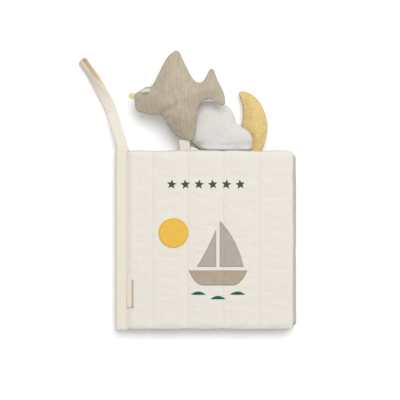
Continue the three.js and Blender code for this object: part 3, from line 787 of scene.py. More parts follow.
def sweepSection(name, section, ys, move):
    # a closed section in x and z carried along y; move(points, y, k) gives each row its own shape
    rows = []
    for k, y in enumerate(ys):
        pts = move(section.copy(), y, k)
        rows.append(np.column_stack([pts[:, 0], np.full(len(pts), y), pts[:, 1]]))
    n = len(section)
    faces = []
    for k in range(len(ys) - 1):
        for i in range(n):
            j = (i + 1) % n
            faces.append((k * n + i, k * n + j, (k + 1) * n + j, (k + 1) * n + i))
    around = np.concatenate([[0], np.cumsum(np.linalg.norm(np.diff(section, axis=0), axis=1))])
    uv = np.vstack([np.column_stack([around, np.full(n, y)]) for y in ys])
    half = n // 2
    for k in (0, len(ys) - 1):  # the two ends are closed
        for i in range(half - 1):
            quad = (k * n + i, k * n + i + 1, k * n + n - 2 - i, k * n + n - 1 - i)
            faces.append(quad if k else quad[::-1])
    return meshObject(name, np.vstack(rows), faces, uv)


def bindingSection(outerEdge, top, bottom, back, radius, wall):
    # an upper run, the fold round the spine and a lower run, then the same way back inside
    def arc(z, start, end):
        angles = [math.radians(a) for a in np.linspace(start, end, 8)]
        return [(back + radius + radius * math.cos(a), z + radius * math.sin(a)) for a in angles]

    path = [(x, top) for x in np.linspace(outerEdge, back + radius, 14)[:-1]]
    path += arc(top - radius, 90, 180)
    path += [(back, z) for z in np.linspace(top - radius, bottom + radius, 6)[1:-1]]
    path += arc(bottom + radius, 180, 270)
    path += [(x, bottom) for x in np.linspace(back + radius, outerEdge, 14)[1:]]
    outer = np.array(path)
    tangent = np.gradient(outer, axis=0)
    tangent /= np.linalg.norm(tangent, axis=1)[:, None]
    inner = outer + np.column_stack([-tangent[:, 1], tangent[:, 0]]) * wall
    return np.vstack([outer, inner[::-1]]), len(outer)


bLow, bHigh = boxOf("spine_binding")
section, outerCount = bindingSection(
    bHigh[0], bHigh[2], bLow[2], bLow[0], bindingShape["rounding"], bindingShape["wall"],
)
bindingDraw = np.random.default_rng(11)
wobbles = bindingDraw.normal(0, 1, bindingShape["rows"] + 12)
wobbles = np.convolve(wobbles, np.ones(12) / 12, "same")[: bindingShape["rows"] + 1]


def shapeBinding(pts, y, k):
    nearEdge = smoothstep(pts[:, 0], bHigh[0] - bindingShape["edgeReach"], bHigh[0])
    sign = np.where(pts[:, 1] > (bLow[2] + bHigh[2]) / 2, 1, -1)
    wobble = bindingShape["wobble"]
    lift = bindingShape["edgeLift"] + 2.4 * wobble * wobbles[k]
    lift += bindingShape["pucker"] * math.sin(y / bindingShape["puckerWave"])
    pts[:, 1] += sign * nearEdge * lift
    pts[:, 0] += nearEdge * wobble * wobbles[k] * 3
    swell, varies = bindingShape["swell"]
    full = np.sin(np.pi * smoothstep(pts[:, 0], bLow[0] + 2 * mm, bHigh[0] - 2.4 * mm))
    pts[:, 1] += sign * full * (swell + varies * wobbles[-k])
    apart = pts[:, 0] - bindingShape["creaseAt"] - 3 * wobble * wobbles[-k]
    crease = np.exp(-((apart / bindingShape["creaseWidth"]) ** 2))
    pts[:, 1] -= sign * bindingShape["creaseDepth"] * crease
    return pts


ys = np.linspace(bLow[1], bHigh[1], bindingShape["rows"] + 1)
spineBinding = sweepSection("spine_binding_cloth", section, ys, shapeBinding)
subdivide(spineBinding)
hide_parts("spine_binding")
finishPiece(spineBinding, bindingCotton, "pages")

# The core shows at the two ends of the binding
inside = spineCore["inside"]
coreSection, _ = bindingSection(
    bHigh[0] + spineCore["pastEdge"], bHigh[2] - inside, bLow[2] + inside, bLow[0] + inside,
    spineCore["rounding"], spineCore["wall"],
)
coreReach = halfHeight - spineCore["inset"]
coreRows = np.linspace(-coreReach, coreReach, spineCore["rows"])
core = sweepSection("sewn_spine_edges", coreSection, coreRows, lambda pts, y, k: pts)
finishPiece(core, sageCotton, "pages")
print("binding folded")


# Hanging loop: a folded cotton strap out of the binding's head, its doubled end turned on its edge
strapShape = {
    "width": 12.2 * mm,
    "thickness": 1.5 * mm,
    "gap": 0.3 * mm,  # between its two runs, and to the table
    "eye": 5.4 * mm,  # of the open loop
    "turn": 65,  # degrees that the doubled end is turned on its edge
    # shares of its length: where the end is sewn down, where it lies on the table, and where the
    # loop is fully open and fully turned
    "seamFrom": 0.5, "downOver": (0.12, 0.6), "openBy": 0.86, "turnedBy": 0.95,
    "rootUnder": 1.2 * mm,  # below the binding's upper face
    "rootInset": 2.95 * mm,  # from the spine's outer face
    "steps": 120,
    # mm from its root and the head edge
    "route": [(0, -12), (-0.4, 2), (-7.4, 26), (-15.4, 50), (-29, 76), (-45.6, 101)],
}


def catmullRom(points, count):
    # a smooth line through the points
    pts = np.array([2 * points[0] - points[1], *points, 2 * points[-1] - points[-2]])
    out = []
    for s in np.linspace(0, len(points) - 1, count):
        i = min(int(s), len(points) - 2)
        t = s - i
        a, b, c, d = pts[i : i + 4]
        bent = (2 * a - 5 * b + 4 * c - d) * t * t + (3 * b - a - 3 * c + d) * t ** 3
        out.append(0.5 * (2 * b + (c - a) * t + bent))
    return np.array(out)


def evenly(points, count):
    # places at equal steps along a line
    steps = np.concatenate([[0], np.cumsum(np.linalg.norm(np.diff(points, axis=0), axis=1))])
    wanted = np.linspace(0, steps[-1], count)
    return np.stack([np.interp(wanted, steps, points[:, k]) for k in range(points.shape[1])], 1)


def ribbonPiece(name, centres, sides, width, thickness, edge, crossways):
    # a strip with rounded edges along its centre line; sides give the direction of its width
    centres = np.array(centres)
    sides = np.array(sides)
    along = np.gradient(centres, axis=0)
    along /= np.linalg.norm(along, axis=1)[:, None]
    face = np.cross(along, sides)
    face /= np.linalg.norm(face, axis=1)[:, None]
    shares = np.linspace(-1, 1, crossways)
    thick = thickness / 2 * np.clip(1 - np.abs(shares) ** 6 * edge, 0.2, 1)
    top = [(s * width / 2, t) for s, t in zip(shares, thick)]
    ring = top + [(s * width / 2, -t) for s, t in zip(shares[::-1], thick[::-1])]
    ring = np.array(ring)
    n = len(ring)
    vertices, uv = [], []
    run = np.concatenate([[0], np.cumsum(np.linalg.norm(np.diff(centres, axis=0), axis=1))])
    across = ring[:, 0] + np.where(np.arange(n) < crossways, 0, width)
    for k in range(len(centres)):
        vertices.append(centres[k] + ring[:, :1] * sides[k] + ring[:, 1:] * face[k])
        uv.append(np.column_stack([across, np.full(n, run[k])]))
    faces = []
    for k in range(len(centres) - 1):
        for i in range(n):
            j = (i + 1) % n
            faces.append((k * n + i, (k + 1) * n + i, (k + 1) * n + j, k * n + j))
    for k, flip in ((0, False), (len(centres) - 1, True)):
        for i in range(crossways - 1):
            quad = (k * n + i, k * n + i + 1, k * n + n - 2 - i, k * n + n - 1 - i)
            faces.append(quad[::-1] if flip else quad)
    return meshObject(name, np.vstack(vertices), faces, np.vstack(uv))


strapRootLevel = bHigh[2] - strapShape["rootUnder"] - strapShape["gap"] - strapShape["thickness"] / 2
strapX = bLow[0] + strapShape["rootInset"] + strapShape["width"] / 2
route = np.array([(strapX + x * mm, halfHeight + y * mm) for x, y in strapShape["route"]])
lastStep = strapShape["steps"]
strapPlan = evenly(catmullRom(route, 200), lastStep + 1)


def strapPlace(k, offset):
    share = k / lastStep
    tangent = strapPlan[min(k + 1, lastStep)] - strapPlan[max(k - 1, 0)]
    tangent = tangent / np.linalg.norm(tangent)
    lateral = np.array([tangent[1], -tangent[0], 0])
    turned = float(smoothstep(share, strapShape["seamFrom"] - 0.05, strapShape["turnedBy"]))
    turn = math.radians(strapShape["turn"]) * turned
    up = np.array([0, 0, 1.0])
    side = lateral * math.cos(turn) + up * math.sin(turn)
    face = up * math.cos(turn) - lateral * math.sin(turn)
    lying = strapShape["gap"] + strapShape["width"] / 2 * math.sin(turn)
    lying += (strapShape["eye"] / 2 + strapShape["thickness"]) * math.cos(turn)
    t = float(smoothstep(share, *strapShape["downOver"]))
    height = strapRootLevel * (1 - t) + lying * t
    centre = np.array([*strapPlan[k], height]) + face * offset
    return centre, side, face, np.array([*tangent, 0])


def runOffset(share):
    closed = (strapShape["thickness"] + strapShape["gap"]) / 2
    opened = (strapShape["eye"] + strapShape["thickness"]) / 2
    t = float(smoothstep(share, strapShape["seamFrom"] + 0.06, strapShape["openBy"]))
    return closed * (1 - t) + opened * t


centres, sides = [], []
seamFrom = strapShape["seamFrom"]
for k in range(lastStep + 1):
    share = k / lastStep
    offset = runOffset(share) * float(smoothstep(share, seamFrom - 0.2, seamFrom))
    centre, side, _, _ = strapPlace(k, offset)
    centres.append(centre)
    sides.append(side)
centre, side, face, along = strapPlace(lastStep, 0)
for a in np.radians(np.linspace(0, 180, 18)[1:-1]):  # the bend at the loop's end
    centres.append(centre + runOffset(1) * (face * math.cos(a) + along * math.sin(a)))
    sides.append(side)
for k in range(lastStep, int(lastStep * seamFrom) - 1, -1):
    centre, side, _, _ = strapPlace(k, -runOffset(k / lastStep))
    centres.append(centre)
    sides.append(side)
strap = ribbonPiece(
    "hanging_loop_strap", centres, sides, strapShape["width"], strapShape["thickness"], 0.6, 13,
)
subdivide(strap)
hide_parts("hanging_loop")
finishPiece(strap, strapCotton, "pages")

# Tape between the bird and the book, with its second run slanting away
tapeShape = {
    "width": 12 * mm, "thickness": 0.8 * mm, "level": 15.3 * mm,
    # mm from the cover's middle, its head edge and the level
    "straight": [
        (-22.6, -27, 0), (-22.8, -12, 0), (-23, -5, 0), (-23.2, 0, 0), (-23.4, 4, 0.8),
        (-23.6, 8, 2), (-24, 13, 3.4),
    ],
    "slanting": [(7, -11.4, 0), (-7, -5.0, 0), (-18.4, 0.2, 0)],
}
for name in ("straight", "slanting"):
    route = np.array(tapeShape[name]) * mm + [0, halfHeight, tapeShape["level"]]
    line = evenly(catmullRom(route, 120), 60)
    along = np.gradient(line, axis=0)
    side = np.column_stack([along[:, 1], -along[:, 0], np.zeros(len(line))])
    side /= np.linalg.norm(side, axis=1)[:, None]
    run = ribbonPiece(
        f"bird_tape_{name}", line, side, tapeShape["width"], tapeShape["thickness"], 0.5, 11,
    )
    subdivide(run)
    finishPiece(run, tapeTwill, "pages")
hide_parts("bird_tape")
print("strap and tape laid")


# Toys: for each, the spacing of its cloth's points and how far its seam is let out, then the
# filling's pressure, the spare cloth as a share, its frames and the most that a point may move
toyShape = {
    "plush_cloud": {
        "spacing": 2.2 * mm, "letOut": 0.5 * mm, "pressure": 12, "excess": 0.008, "frames": 20,
        "cap": 2.4 * mm,
    },
    "plush_moon": {
        "spacing": 2.0 * mm, "letOut": 0.8 * mm, "pressure": 12, "excess": 0.012, "frames": 20,
        "cap": 2.2 * mm,
    },
    "plush_bird": {
        "spacing": 2.3 * mm, "letOut": 0.2 * mm, "pressure": 12, "excess": 0.012, "frames": 20,
        "cap": 2.6 * mm,
    },
    "bird_beak": {
        "spacing": 0.9 * mm, "letOut": 0.7 * mm, "pressure": 4, "excess": 0.02, "frames": 10,
        "cap": 0.6 * mm,
    },
}


def creased(co, creases):
    # valleys pressed into the upper panel along short lines: from, to, depth and half width in mm
    crown = co[:, 2] > (co[:, 2].max() + co[:, 2].min()) / 2 - 4 * mm
    for start, end, depth, width in creases:
        start, end = np.array(start) * mm, np.array(end) * mm
        share = np.clip(((co[:, :2] - start) @ (end - start)) / np.sum((end - start) ** 2), 0, 1)
        apart = np.linalg.norm(co[:, :2] - start - share[:, None] * (end - start), axis=1)
        fade = 1 - 0.6 * share
        co[:, 2] -= np.where(crown, depth * mm * fade * np.exp(-((apart / (width * mm)) ** 2)), 0)
    return co


birdPose = {
    # how far each part hangs or moves, and the stretch over which it begins
    "headDroop": 11.5 * mm, "alongNeck": (42 * mm, 84 * mm),
    "wingDroop": 4 * mm, "alongWing": (176 * mm, 214 * mm),
    "nearWingDroop": 3 * mm, "alongNearWing": (-146 * mm, -116 * mm),
    "tipLift": 2.6 * mm, "alongTip": (-118 * mm, -108 * mm),
    "creases": [
        ((-50.5, 141.2), (-32, 150), 3.4, 2.3), ((-12.6, 176), (-12.8, 166), 0.9, 1.6),
        ((-13, 142), (-20, 152), 1.0, 2.2),
    ],
    # in plan, for a fuller jaw, a flatter brow and a shallow neck: place, shift and reach in mm
    "pushes": [
        ((-75.5, 149), (-1.2, -2.6), 5.5), ((-64, 141), (0, -1.0), 5),
        ((-72.5, 170), (0.4, -1.7), 5), ((-61, 173), (0.5, -1.3), 4.5),
        ((-50.3, 144), (0.4, -3.2), 5.5),
    ],
}


def droopBird(co):
    # the head and the wing tips hang a little, and the wing is creased beside the neck
    co = co.copy()
    co[:, 2] -= birdPose["headDroop"] * smoothstep(-co[:, 0], *birdPose["alongNeck"])
    co[:, 2] -= birdPose["wingDroop"] * smoothstep(co[:, 1], *birdPose["alongWing"])
    co[:, 2] -= birdPose["nearWingDroop"] * smoothstep(-co[:, 1], *birdPose["alongNearWing"])
    co[:, 1] += birdPose["tipLift"] * smoothstep(-co[:, 1], *birdPose["alongTip"])
    start = co[:, :2].copy()
    for place, shift, reach in birdPose["pushes"]:
        apart = np.linalg.norm(start - np.array(place) * mm, axis=1)
        co[:, :2] += np.exp(-((apart / (reach * mm)) ** 2))[:, None] * np.array(shift) * mm
    return creased(co, birdPose["creases"])


cloudPose = {
    "cornerShift": 8.5 * mm,
    "cornerAlong": (-114 * mm, -98 * mm), "cornerAcross": (-14 * mm, 14 * mm),
    "headLift": 2.2 * mm, "headAt": 103.4 * mm, "headWidth": 2.2 * mm,
    "upperFrom": (10 * mm, 15 * mm),  # heights between which the upper panel begins
    "creases": [
        ((-10, 107), (12, 110), 1.0, 2.0), ((0, 101), (26, 104), 0.8, 1.8),
        ((20, 146), (33, 128), 0.9, 1.7), ((30, 128), (46, 120), 0.7, 1.8),
    ],
}


def tuckCloud(co):
    # the corner beside the tape is drawn in, and the cloth swells up again beyond the cover's edge
    co = co.copy()
    near = smoothstep(-co[:, 1], *cloudPose["cornerAlong"])
    near = near * smoothstep(-co[:, 0], *cloudPose["cornerAcross"])
    co[:, 0] += near * cloudPose["cornerShift"]
    upper = smoothstep(co[:, 2], *cloudPose["upperFrom"])
    apart = (co[:, 1] - cloudPose["headAt"]) / cloudPose["headWidth"]
    co[:, 2] += cloudPose["headLift"] * upper * np.exp(-(apart ** 2))
    return creased(co, cloudPose["creases"])


crevice = {
    "level": 16.4 * mm, "rise": 2.9 * mm,  # the cloth's height under the cover's edge, and its rise
    "riseOver": (100.9 * mm, 102.5 * mm),
    "left": (-3 * mm, 5 * mm), "right": (-51 * mm, -46 * mm),  # where it begins and ends across
    "inner": (99.5 * mm, 101.5 * mm), "outer": (-108 * mm, -103 * mm),  # and along
    # the cover's underside, which the cloth doesn't touch, and where it is free again
    "under": 16.6 * mm, "freeRise": 6 * mm, "freeOver": (101.2 * mm, 103 * mm),
}


def fillCrevice(piece):
    # the cloud's cloth comes right up to the cover's edge, and lies under it without touching
    co = places(piece)
    along = smoothstep(co[:, 0], *crevice["left"]) * smoothstep(-co[:, 0], *crevice["right"])
    rise = smoothstep(co[:, 1], *crevice["riseOver"])
    close = (crevice["level"] + crevice["rise"] * rise) * smoothstep(-co[:, 1], *crevice["outer"])
    share = along * smoothstep(co[:, 1], *crevice["inner"])
    lifted = co[:, 2] + share * np.maximum(0, close - co[:, 2])
    under = crevice["under"] + crevice["freeRise"] * smoothstep(co[:, 1], *crevice["freeOver"])
    upper = co[:, 2] > cloudPose["upperFrom"][0]
    co[:, 2] = np.where(upper, np.minimum(lifted, under), co[:, 2])
    setPlaces(piece, co)


beakPose = {"stretch": [1.05, 0.82, 1], "shift": [0.9 * mm, 0.5 * mm, -birdPose["headDroop"]]}


def settleBeak(co):
    middle = co.mean(0)
    return (co - middle) * beakPose["stretch"] + middle + beakPose["shift"]


reshapes = {"plush_bird": droopBird, "plush_cloud": tuckCloud, "bird_beak": settleBeak}
toyPieces = {}
for name, material, slotName in (
    ("plush_cloud", cloudMuslin, "grey_muslin"), ("plush_moon", moonTwill, "mustard_cotton"),
    ("plush_bird", birdLinen, "taupe_linen"), ("bird_beak", beakCotton, "beak_cotton"),
):
    look = toyShape[name]
    piece, seam = toyPanels(
        "stuffed_" + name.split("_")[1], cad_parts[name], look["spacing"], look["letOut"],
        reshapes.get(name),
    )
    inflate(piece, seam, look)
    refine(piece, seam)
    if name == "plush_cloud":
        fillCrevice(piece)
    restOnTable(piece)
    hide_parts(name)
    finishPiece(piece, material, "pages")
    toyPieces[name] = piece
print("toys stuffed")


# Patches: printed cotton laid on the quilted cover
patchShape = {
    "lift": 0.3 * mm,  # of its face over the cover
    "backUnder": 0.15 * mm,  # its back and its edge go this far into the cover
    "edgeUnder": 0.3 * mm,
    "spacing": 1.6 * mm,
}


def outlineOf(node):
    # the rim of a raised plate's upper face
    plan = {}
    for face in node.data.polygons:
        if face.normal.z > 0.5:
            keys = [tuple(np.round(node.data.vertices[i].co[:2], 6)) for i in face.vertices]
            for a, b in zip(keys, keys[1:] + keys[:1]):
                plan[(a, b)] = True
    edge = {a: b for a, b in plan if (b, a) not in plan}
    order = [next(iter(edge))]
    while edge[order[-1]] != order[0]:
        order.append(edge[order[-1]])
    return np.array(order)


coverSurface = surfaceOf(frontCover)


def coverHeight(x, y):
    hit = coverSurface.ray_cast(Vector((x, y, 0.1)), Vector((0, 0, -1)))[0]
    return hit.z if hit else coverMiddle


def patchPiece(name, outline):
    spacing = patchShape["spacing"]
    ring = np.column_stack([outline, np.zeros(len(outline))])
    steps = []
    for a, b in zip(ring, np.roll(ring, -1, 0)):
        count = max(1, int(np.linalg.norm(b - a) / spacing))
        steps += [a + (b - a) * i / count for i in range(count)]
    ring = np.array(steps)
    inner = panelPoints(ring, spacing)
    flat = [Vector(p[:2]) for p in ring] + [Vector(p) for p in inner]
    points, _, faces, origin, _, _ = delaunay_2d_cdt(flat, [], [list(range(len(ring)))], 1, 1e-7)
    plan = np.array(points)
    edge = np.array([any(o < len(ring) for o in f) for f in origin])
    zs = np.array([coverHeight(*p) for p in plan])
    count = len(plan)
    top = np.column_stack([plan, zs + patchShape["lift"]])
    low = np.column_stack([plan, zs - patchShape["backUnder"]])
    low[edge, 2] = zs[edge] - patchShape["edgeUnder"]
    allFaces = [tuple(f) for f in faces] + [tuple(count + i for i in reversed(f)) for f in faces]
    borders = {}
    for f in faces:
        for a, b in zip(f, list(f[1:]) + [f[0]]):
            borders[(a, b)] = True
    for a, b in borders:
        if (b, a) not in borders:
            allFaces.append((b, a, count + a, count + b))
    return meshObject(name, np.vstack([top, low]), allFaces, np.vstack([plan, plan]))


for name, material, slotName in (
    ("hull_patch", hullCotton, "taupe_patch"), ("main_sail_patch", sailCotton, "grey_patch"),
    ("jib_patch", sailCotton, "grey_patch"), ("sun_patch", sunCotton, "mustard_patch"),
    *[(f"wave_patch_{count}", waveCotton, "teal_patch") for count in (1, 2, 3)],
):
    piece = patchPiece(name.replace("_patch", "_cloth"), outlineOf(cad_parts[name]))
    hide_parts(name)
    finishPiece(piece, material, "front_cover")
print("patches laid")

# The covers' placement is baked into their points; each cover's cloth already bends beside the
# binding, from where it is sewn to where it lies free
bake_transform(frontCover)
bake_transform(backCover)

# Side label: a bare satin ribbon folded over and caught at the binding
labelShape = {
    "tuck": 1.2 * mm,  # it starts this far in under the binding
    "longer": 0.7 * mm,  # its run is this much longer than its solid
    "over": 0.6 * mm,  # height of its upper run over the cover
    "crown": 0.1 * mm,
    "apart": 0.38 * mm,  # of its two runs
    "foldInset": 0.25 * mm,
    "coverAt": -60 * mm,  # where the cover's height is taken
    "thickness": 0.26 * mm,
    "steps": 60,
}
lLow, lHigh = boxOf("side_label")
labelWidth, labelMiddle = lHigh[0] - lLow[0], (lLow[1] + lHigh[1]) / 2
line = []
for s in np.linspace(0, 1, 24):
    x = lLow[0] - labelShape["tuck"] + (labelWidth + labelShape["longer"]) * s
    z = coverHeight(x, labelShape["coverAt"]) + labelShape["over"]
    line.append((x, labelMiddle, z + labelShape["crown"] * math.sin(math.pi * s)))
back = [(x, y, z - labelShape["apart"]) for x, y, z in reversed(line)]
turnOver = [(lHigh[0] - labelShape["foldInset"], labelMiddle, (line[-1][2] + back[0][2]) / 2)]
ribbonLine = evenly(np.array(line + turnOver + back), labelShape["steps"])
label = ribbonPiece(
    "side_label_ribbon", ribbonLine, np.tile([0, 1.0, 0], (labelShape["steps"], 1)),
    lHigh[1] - lLow[1], labelShape["thickness"], 0.3, 15,
)
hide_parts("side_label")
finishPiece(label, labelSatin, "front_cover")


def tubeFaces(base, rings, around, turned=False):
    # the faces of a closed tube whose rings follow each other from base; turned where they run the
    # other way round
    faces = []
    for ring in range(rings - 1):
        start, after = base + ring * around, base + (ring + 1) * around
        for k in range(around):
            j = (k + 1) % around
            quad = (start + k, start + j, after + j, after + k)
            faces.append((quad[0], *quad[:0:-1]) if turned else quad)
    first, last = [tuple(base + i * around + k for k in range(around)) for i in (0, rings - 1)]
    return faces + ([first, last[::-1]] if turned else [first[::-1], last])


# Threads: each stitch is a short thread that dives into the cloth at both ends
sewing = {
    "length": 2.6 * mm, "gap": 0.7 * mm, "radius": 0.22 * mm, "sides": 6, "lift": 0.12 * mm,
    "ends": 1 * mm,  # a long row starts and ends this far from the cloth's edges
    # along a stitch: share of its length, then its height and width in radii
    "bow": [
        (0.0, -1.6, 0.45), (0.12, -0.2, 0.95), (0.5, 0.35, 1.0), (0.88, -0.2, 0.95),
        (1.0, -1.6, 0.45),
    ],
}
patchSewing = {
    "length": 1.9 * mm, "gap": 0.8 * mm, "radius": 0.16 * mm, "lift": 0.05 * mm, "inset": 1.3 * mm,
}
strapSewing = {"length": 1.8 * mm, "gap": 0.6 * mm, "reach": 0.42}


def stitches(name, runs, material, body, slotName, **changes):
    look = {**sewing, **changes}
    length, radius, around = look["length"], look["radius"], look["sides"]
    vertices, faces = [], []
    for line, normals in runs:
        steps = np.concatenate([[0], np.cumsum(np.linalg.norm(np.diff(line, axis=0), axis=1))])

        def at(values, distance):
            return np.array([np.interp(distance, steps, values[:, k]) for k in range(3)])

        for start in np.arange(look["gap"] / 2, steps[-1] - length, length + look["gap"]):
            base = len(vertices)
            a, b, up = at(line, start), at(line, start + length), at(normals, start + length / 2)
            along = (b - a) / np.linalg.norm(b - a)
            side = np.cross(along, up)
            side /= np.linalg.norm(side)
            for share, lift, width in look["bow"]:
                centre = a + (b - a) * share + up * lift * radius
                for k in range(around):
                    angle = 2 * math.pi * k / around
                    out = side * math.cos(angle) + up * math.sin(angle)
                    vertices.append(centre + out * radius * width)
            faces += tubeFaces(base, len(look["bow"]), around)
    finishPiece(meshObject(name, vertices, faces), material, body)


def overCloth(surface, plan, lift, fromBelow=False):
    # a line in plan laid on a cloth's upper or lower face, with that face's direction
    start, way = (-0.1, 1) if fromBelow else (0.1, -1)
    line, normals = [], []
    for x, y in plan:
        hit, normal, _, _ = surface.ray_cast(Vector((x, y, start)), Vector((0, 0, way)))
        if hit:
            line.append((x, y, hit.z - way * lift))
            normals.append(tuple(normal if normal.z * way < 0 else -normal))
    return np.array(line), np.array(normals)


def sewnRow(x, start, end):
    return [(x, y) for y in np.linspace(start + sewing["ends"], end - sewing["ends"], 200)]


for body, surface in (("front_cover", coverSurface), ("back_cover", surfaceOf(backCover))):
    rows = [sewnRow(x, -halfHeight, halfHeight) for x in stitchLines]
    runs = [overCloth(surface, row, sewing["lift"], below) for row in rows for below in (False, True)]
    stitches(f"{body}_quilting_thread", runs, creamThread, body, "quilted_cotton")

bindingSurface = surfaceOf(spineBinding)
row = sewnRow(bHigh[0] - bindingShape["seamInset"], bLow[1], bHigh[1])
runs = [overCloth(bindingSurface, row, sewing["lift"], below) for below in (False, True)]
stitches("binding_thread", runs, creamThread, "pages", "binding_cotton")

for name, thread, slotName in (
    ("hull", taupeThread, "taupe_patch"), ("main_sail", sailThread, "grey_patch"),
    ("jib", sailThread, "grey_patch"), ("sun", sunThread, "mustard_patch"),
):
    patch = surfaceOf(bpy.data.objects[name + "_cloth"])
    ring = outlineOf(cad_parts[name + "_patch"])
    closed = np.column_stack([ring, np.zeros(len(ring))])
    inset = letOut(closed, -patchSewing["inset"])[:, :2]
    plan = evenly(np.vstack([inset, inset[:1]]), 160)
    runs = [overCloth(patch, plan, patchSewing["lift"])]
    stitches(name + "_thread", runs, thread, "front_cover", slotName, **patchSewing)

# Two rows of stitches across the strap close its loop
seamRows = []
for share in (seamFrom - 0.01, seamFrom + 0.03):
    centre, side, _, _ = strapPlace(int(lastStep * share), 0)
    reach = np.linspace(-strapSewing["reach"], strapSewing["reach"], 40)[:, None]
    reach = reach * strapShape["width"]
    seamRows.append(overCloth(surfaceOf(strap), centre[:2] + reach * side[:2], sewing["lift"]))
stitches("strap_thread", seamRows, creamThread, "pages", "cotton_strap", **strapSewing)

# A row of small stars, each filled with satin stitches
starRow = {
    "from": (-38 * mm, 62.5 * mm), "to": (39 * mm, 62.5 * mm), "count": 6,
    "radius": 5.6 * mm, "inner": 0.45,
    "tilt": 0.12,  # each star leans, one way and the other in turn
    "thread": 0.42 * mm, "slant": 0.5,
}
satin = {
    "spacing": 0.4 * mm, "slant": 0.0, "lift": 0.25 * mm, "sides": 5, "steps": 7,
    "shortest": 0.3 * mm, "sink": 0.05 * mm,
}


def starOutline(centre, radius, inner, turn):
    ring = []
    for k in range(10):
        reach, angle = radius * (1 if k % 2 == 0 else inner), turn + math.pi * k / 5
        ring.append((centre[0] + reach * math.sin(angle), centre[1] + reach * math.cos(angle)))
    return ring


def satinStitches(name, outlines, material, body, slotName, surface, **changes):
    # parallel threads side by side from edge to edge of each outline
    look = {**satin, **changes}
    spacing, slant, around = look["spacing"], look["slant"], look["sides"]
    vertices, faces = [], []
    for outline in outlines:
        pts = np.array(outline)
        middle = pts.mean(0)
        turn = np.array([[math.cos(slant), math.sin(slant)], [-math.sin(slant), math.cos(slant)]])
        local = (pts - middle) @ turn.T
        for row in np.arange(local[:, 1].min() + spacing / 2, local[:, 1].max(), spacing):
            crossings = []
            for a, b in zip(local, np.roll(local, -1, 0)):
                if (a[1] > row) != (b[1] > row):
                    crossings.append(a[0] + (b[0] - a[0]) * (row - a[1]) / (b[1] - a[1]))
            crossings.sort()
            for left, right in zip(crossings[::2], crossings[1::2]):
                if right - left < look["shortest"]:
                    continue
                base = len(vertices)
                for share in np.linspace(0, 1, look["steps"]):
                    x, y = np.array([left + (right - left) * share, row]) @ turn + middle
                    hit = surface.ray_cast(Vector((x, y, 0.1)), Vector((0, 0, -1)))[0]
                    arch = look["lift"] * math.sin(math.pi * min(max(share, 0.02), 0.98)) ** 0.5
                    z = (hit.z if hit else coverMiddle) + arch - look["sink"]
                    for k in range(around):
                        angle = 2 * math.pi * k / around
                        offset = np.array([0, math.cos(angle) * spacing * 0.62]) @ turn
                        rise = math.sin(angle) * spacing * 0.5
                        vertices.append((x + offset[0], y + offset[1], z + rise))
                faces += tubeFaces(base, look["steps"], around, True)
    finishPiece(meshObject(name, vertices, faces), material, body)


stars = []
for k in range(starRow["count"]):
    share = k / (starRow["count"] - 1)
    centre = [starRow["from"][i] * (1 - share) + starRow["to"][i] * share for i in (0, 1)]
    tilt = starRow["tilt"] * (-1) ** k
    stars.append(starOutline(centre, starRow["radius"], starRow["inner"], tilt))
satinStitches(
    "stitched_stars", stars, greyThread, "front_cover", "quilted_cotton", coverSurface,
    spacing=starRow["thread"], slant=starRow["slant"],
)

# The bird's stitched eye: white satin stitches with a grey green lower lid
eyeShape = {
    # middle, half width, half depth and tilt
    "white": (-67.0 * mm, 167.4 * mm, 5.2 * mm, 2.4 * mm, 0.12), "whiteLift": 0.35 * mm,
    "lid": (-67.2 * mm, 164.3 * mm, 3.2 * mm, 1.6 * mm, 0.1), "lidLift": 0.45 * mm,
    "slant": 1.35,
}


def oval(x, y, halfWidth, halfDepth, tilt):
    ring = []
    for a in np.linspace(0, 2 * math.pi, 25)[:-1]:
        u, v = halfWidth * math.cos(a), halfDepth * math.sin(a)
        right, up = u * math.cos(tilt) - v * math.sin(tilt), u * math.sin(tilt) + v * math.cos(tilt)
        ring.append((x + right, y + up))
    return ring


birdSurface = surfaceOf(toyPieces["plush_bird"])
for part, thread in (("white", eyeWhite), ("lid", eyeGrey)):
    satinStitches(
        f"eye_{part}_stitches", [oval(*eyeShape[part])], thread, "pages", "taupe_linen", birdSurface,
        slant=eyeShape["slant"], lift=eyeShape[part + "Lift"],
    )
print("stitching done")

# Floor, light and air
studio = {
    "floorShown": 1.19,  # colour of the floor as the camera sees it, bright enough to read as white
    "floorBounce": 0.75,  # and as its light reaches the object
    "floorReach": 4.0,
    "keyPower": 39.5,
    "keySize": 2.0,
    "keyFrom": (0.15, 0.46, 1.0),
    "keyDistance": 2.6,
    "skyLight": 0.525,
}


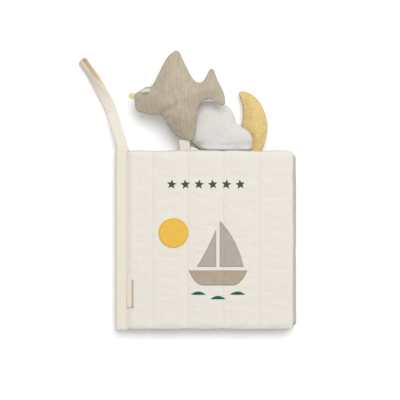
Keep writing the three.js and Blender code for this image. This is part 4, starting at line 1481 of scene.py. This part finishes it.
def seenDirectly(tree):
    # 1 for what the camera sees straight, mirrored or through something clear, 0 for other rays
    rays = addNode(tree, "LightPath").node.outputs
    camera, glossy, clear = [rays[f"Is {kind} Ray"] for kind in ("Camera", "Glossy", "Transmission")]
    seen = addNode(tree, "Math", {0: camera, 1: glossy}, operation="ADD")
    return addNode(tree, "Math", {0: seen, 1: clear}, operation="ADD", use_clamp=True)


def makeFloor():
    size = studio["floorReach"]
    corners = [(-size, -size, 0), (size, -size, 0), (size, size, 0), (-size, size, 0)]
    floor = meshObject("floor", corners, [(0, 1, 2, 3)], smooth=False)
    floor.location.z = -0.2 * mm
    material, tree = emptyMaterial("paper floor, matt white")
    bounce, shown = [(studio[key],) * 3 + (1,) for key in ("floorBounce", "floorShown")]
    colour = addNode(tree, "Mix", {0: seenDirectly(tree), 6: bounce, 7: shown}, data_type="RGBA")
    shader = addNode(tree, "BsdfDiffuse", {"Color": colour})
    addNode(tree, "OutputMaterial", {0: shader})
    floor.data.materials.append(material)
    floor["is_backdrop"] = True


def makeLight():
    direction = Vector(studio["keyFrom"]).normalized()
    data = bpy.data.lights.new("window light", "AREA")
    data.shape = "DISK"
    data.size = studio["keySize"]
    data.energy = studio["keyPower"]
    light = bpy.data.objects.new("window light", data)
    light.location = direction * studio["keyDistance"]
    light.rotation_euler = direction.to_track_quat("Z", "Y").to_euler()
    bpy.context.scene.collection.objects.link(light)
    world = bpy.data.worlds.new("studio air")
    world.use_nodes = True
    # past the floor's far edge the camera sees white, while the air's light on the object stays level
    tree = world.node_tree
    strength = addNode(tree, "MapRange", {0: seenDirectly(tree), 3: studio["skyLight"], 4: 1.0})
    tree.nodes["Background"].inputs["Color"].default_value = (1, 1, 1, 1)
    tree.links.new(strength, tree.nodes["Background"].inputs["Strength"])
    bpy.context.scene.world = world


makeFloor()
makeLight()
bpy.context.scene.view_settings.view_transform = "Standard"

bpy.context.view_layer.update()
for kind, box in (("CAD", cadBox), ("visual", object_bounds())):
    print(kind, "box in mm", [[round(v / mm, 1) for v in p] for p in box])
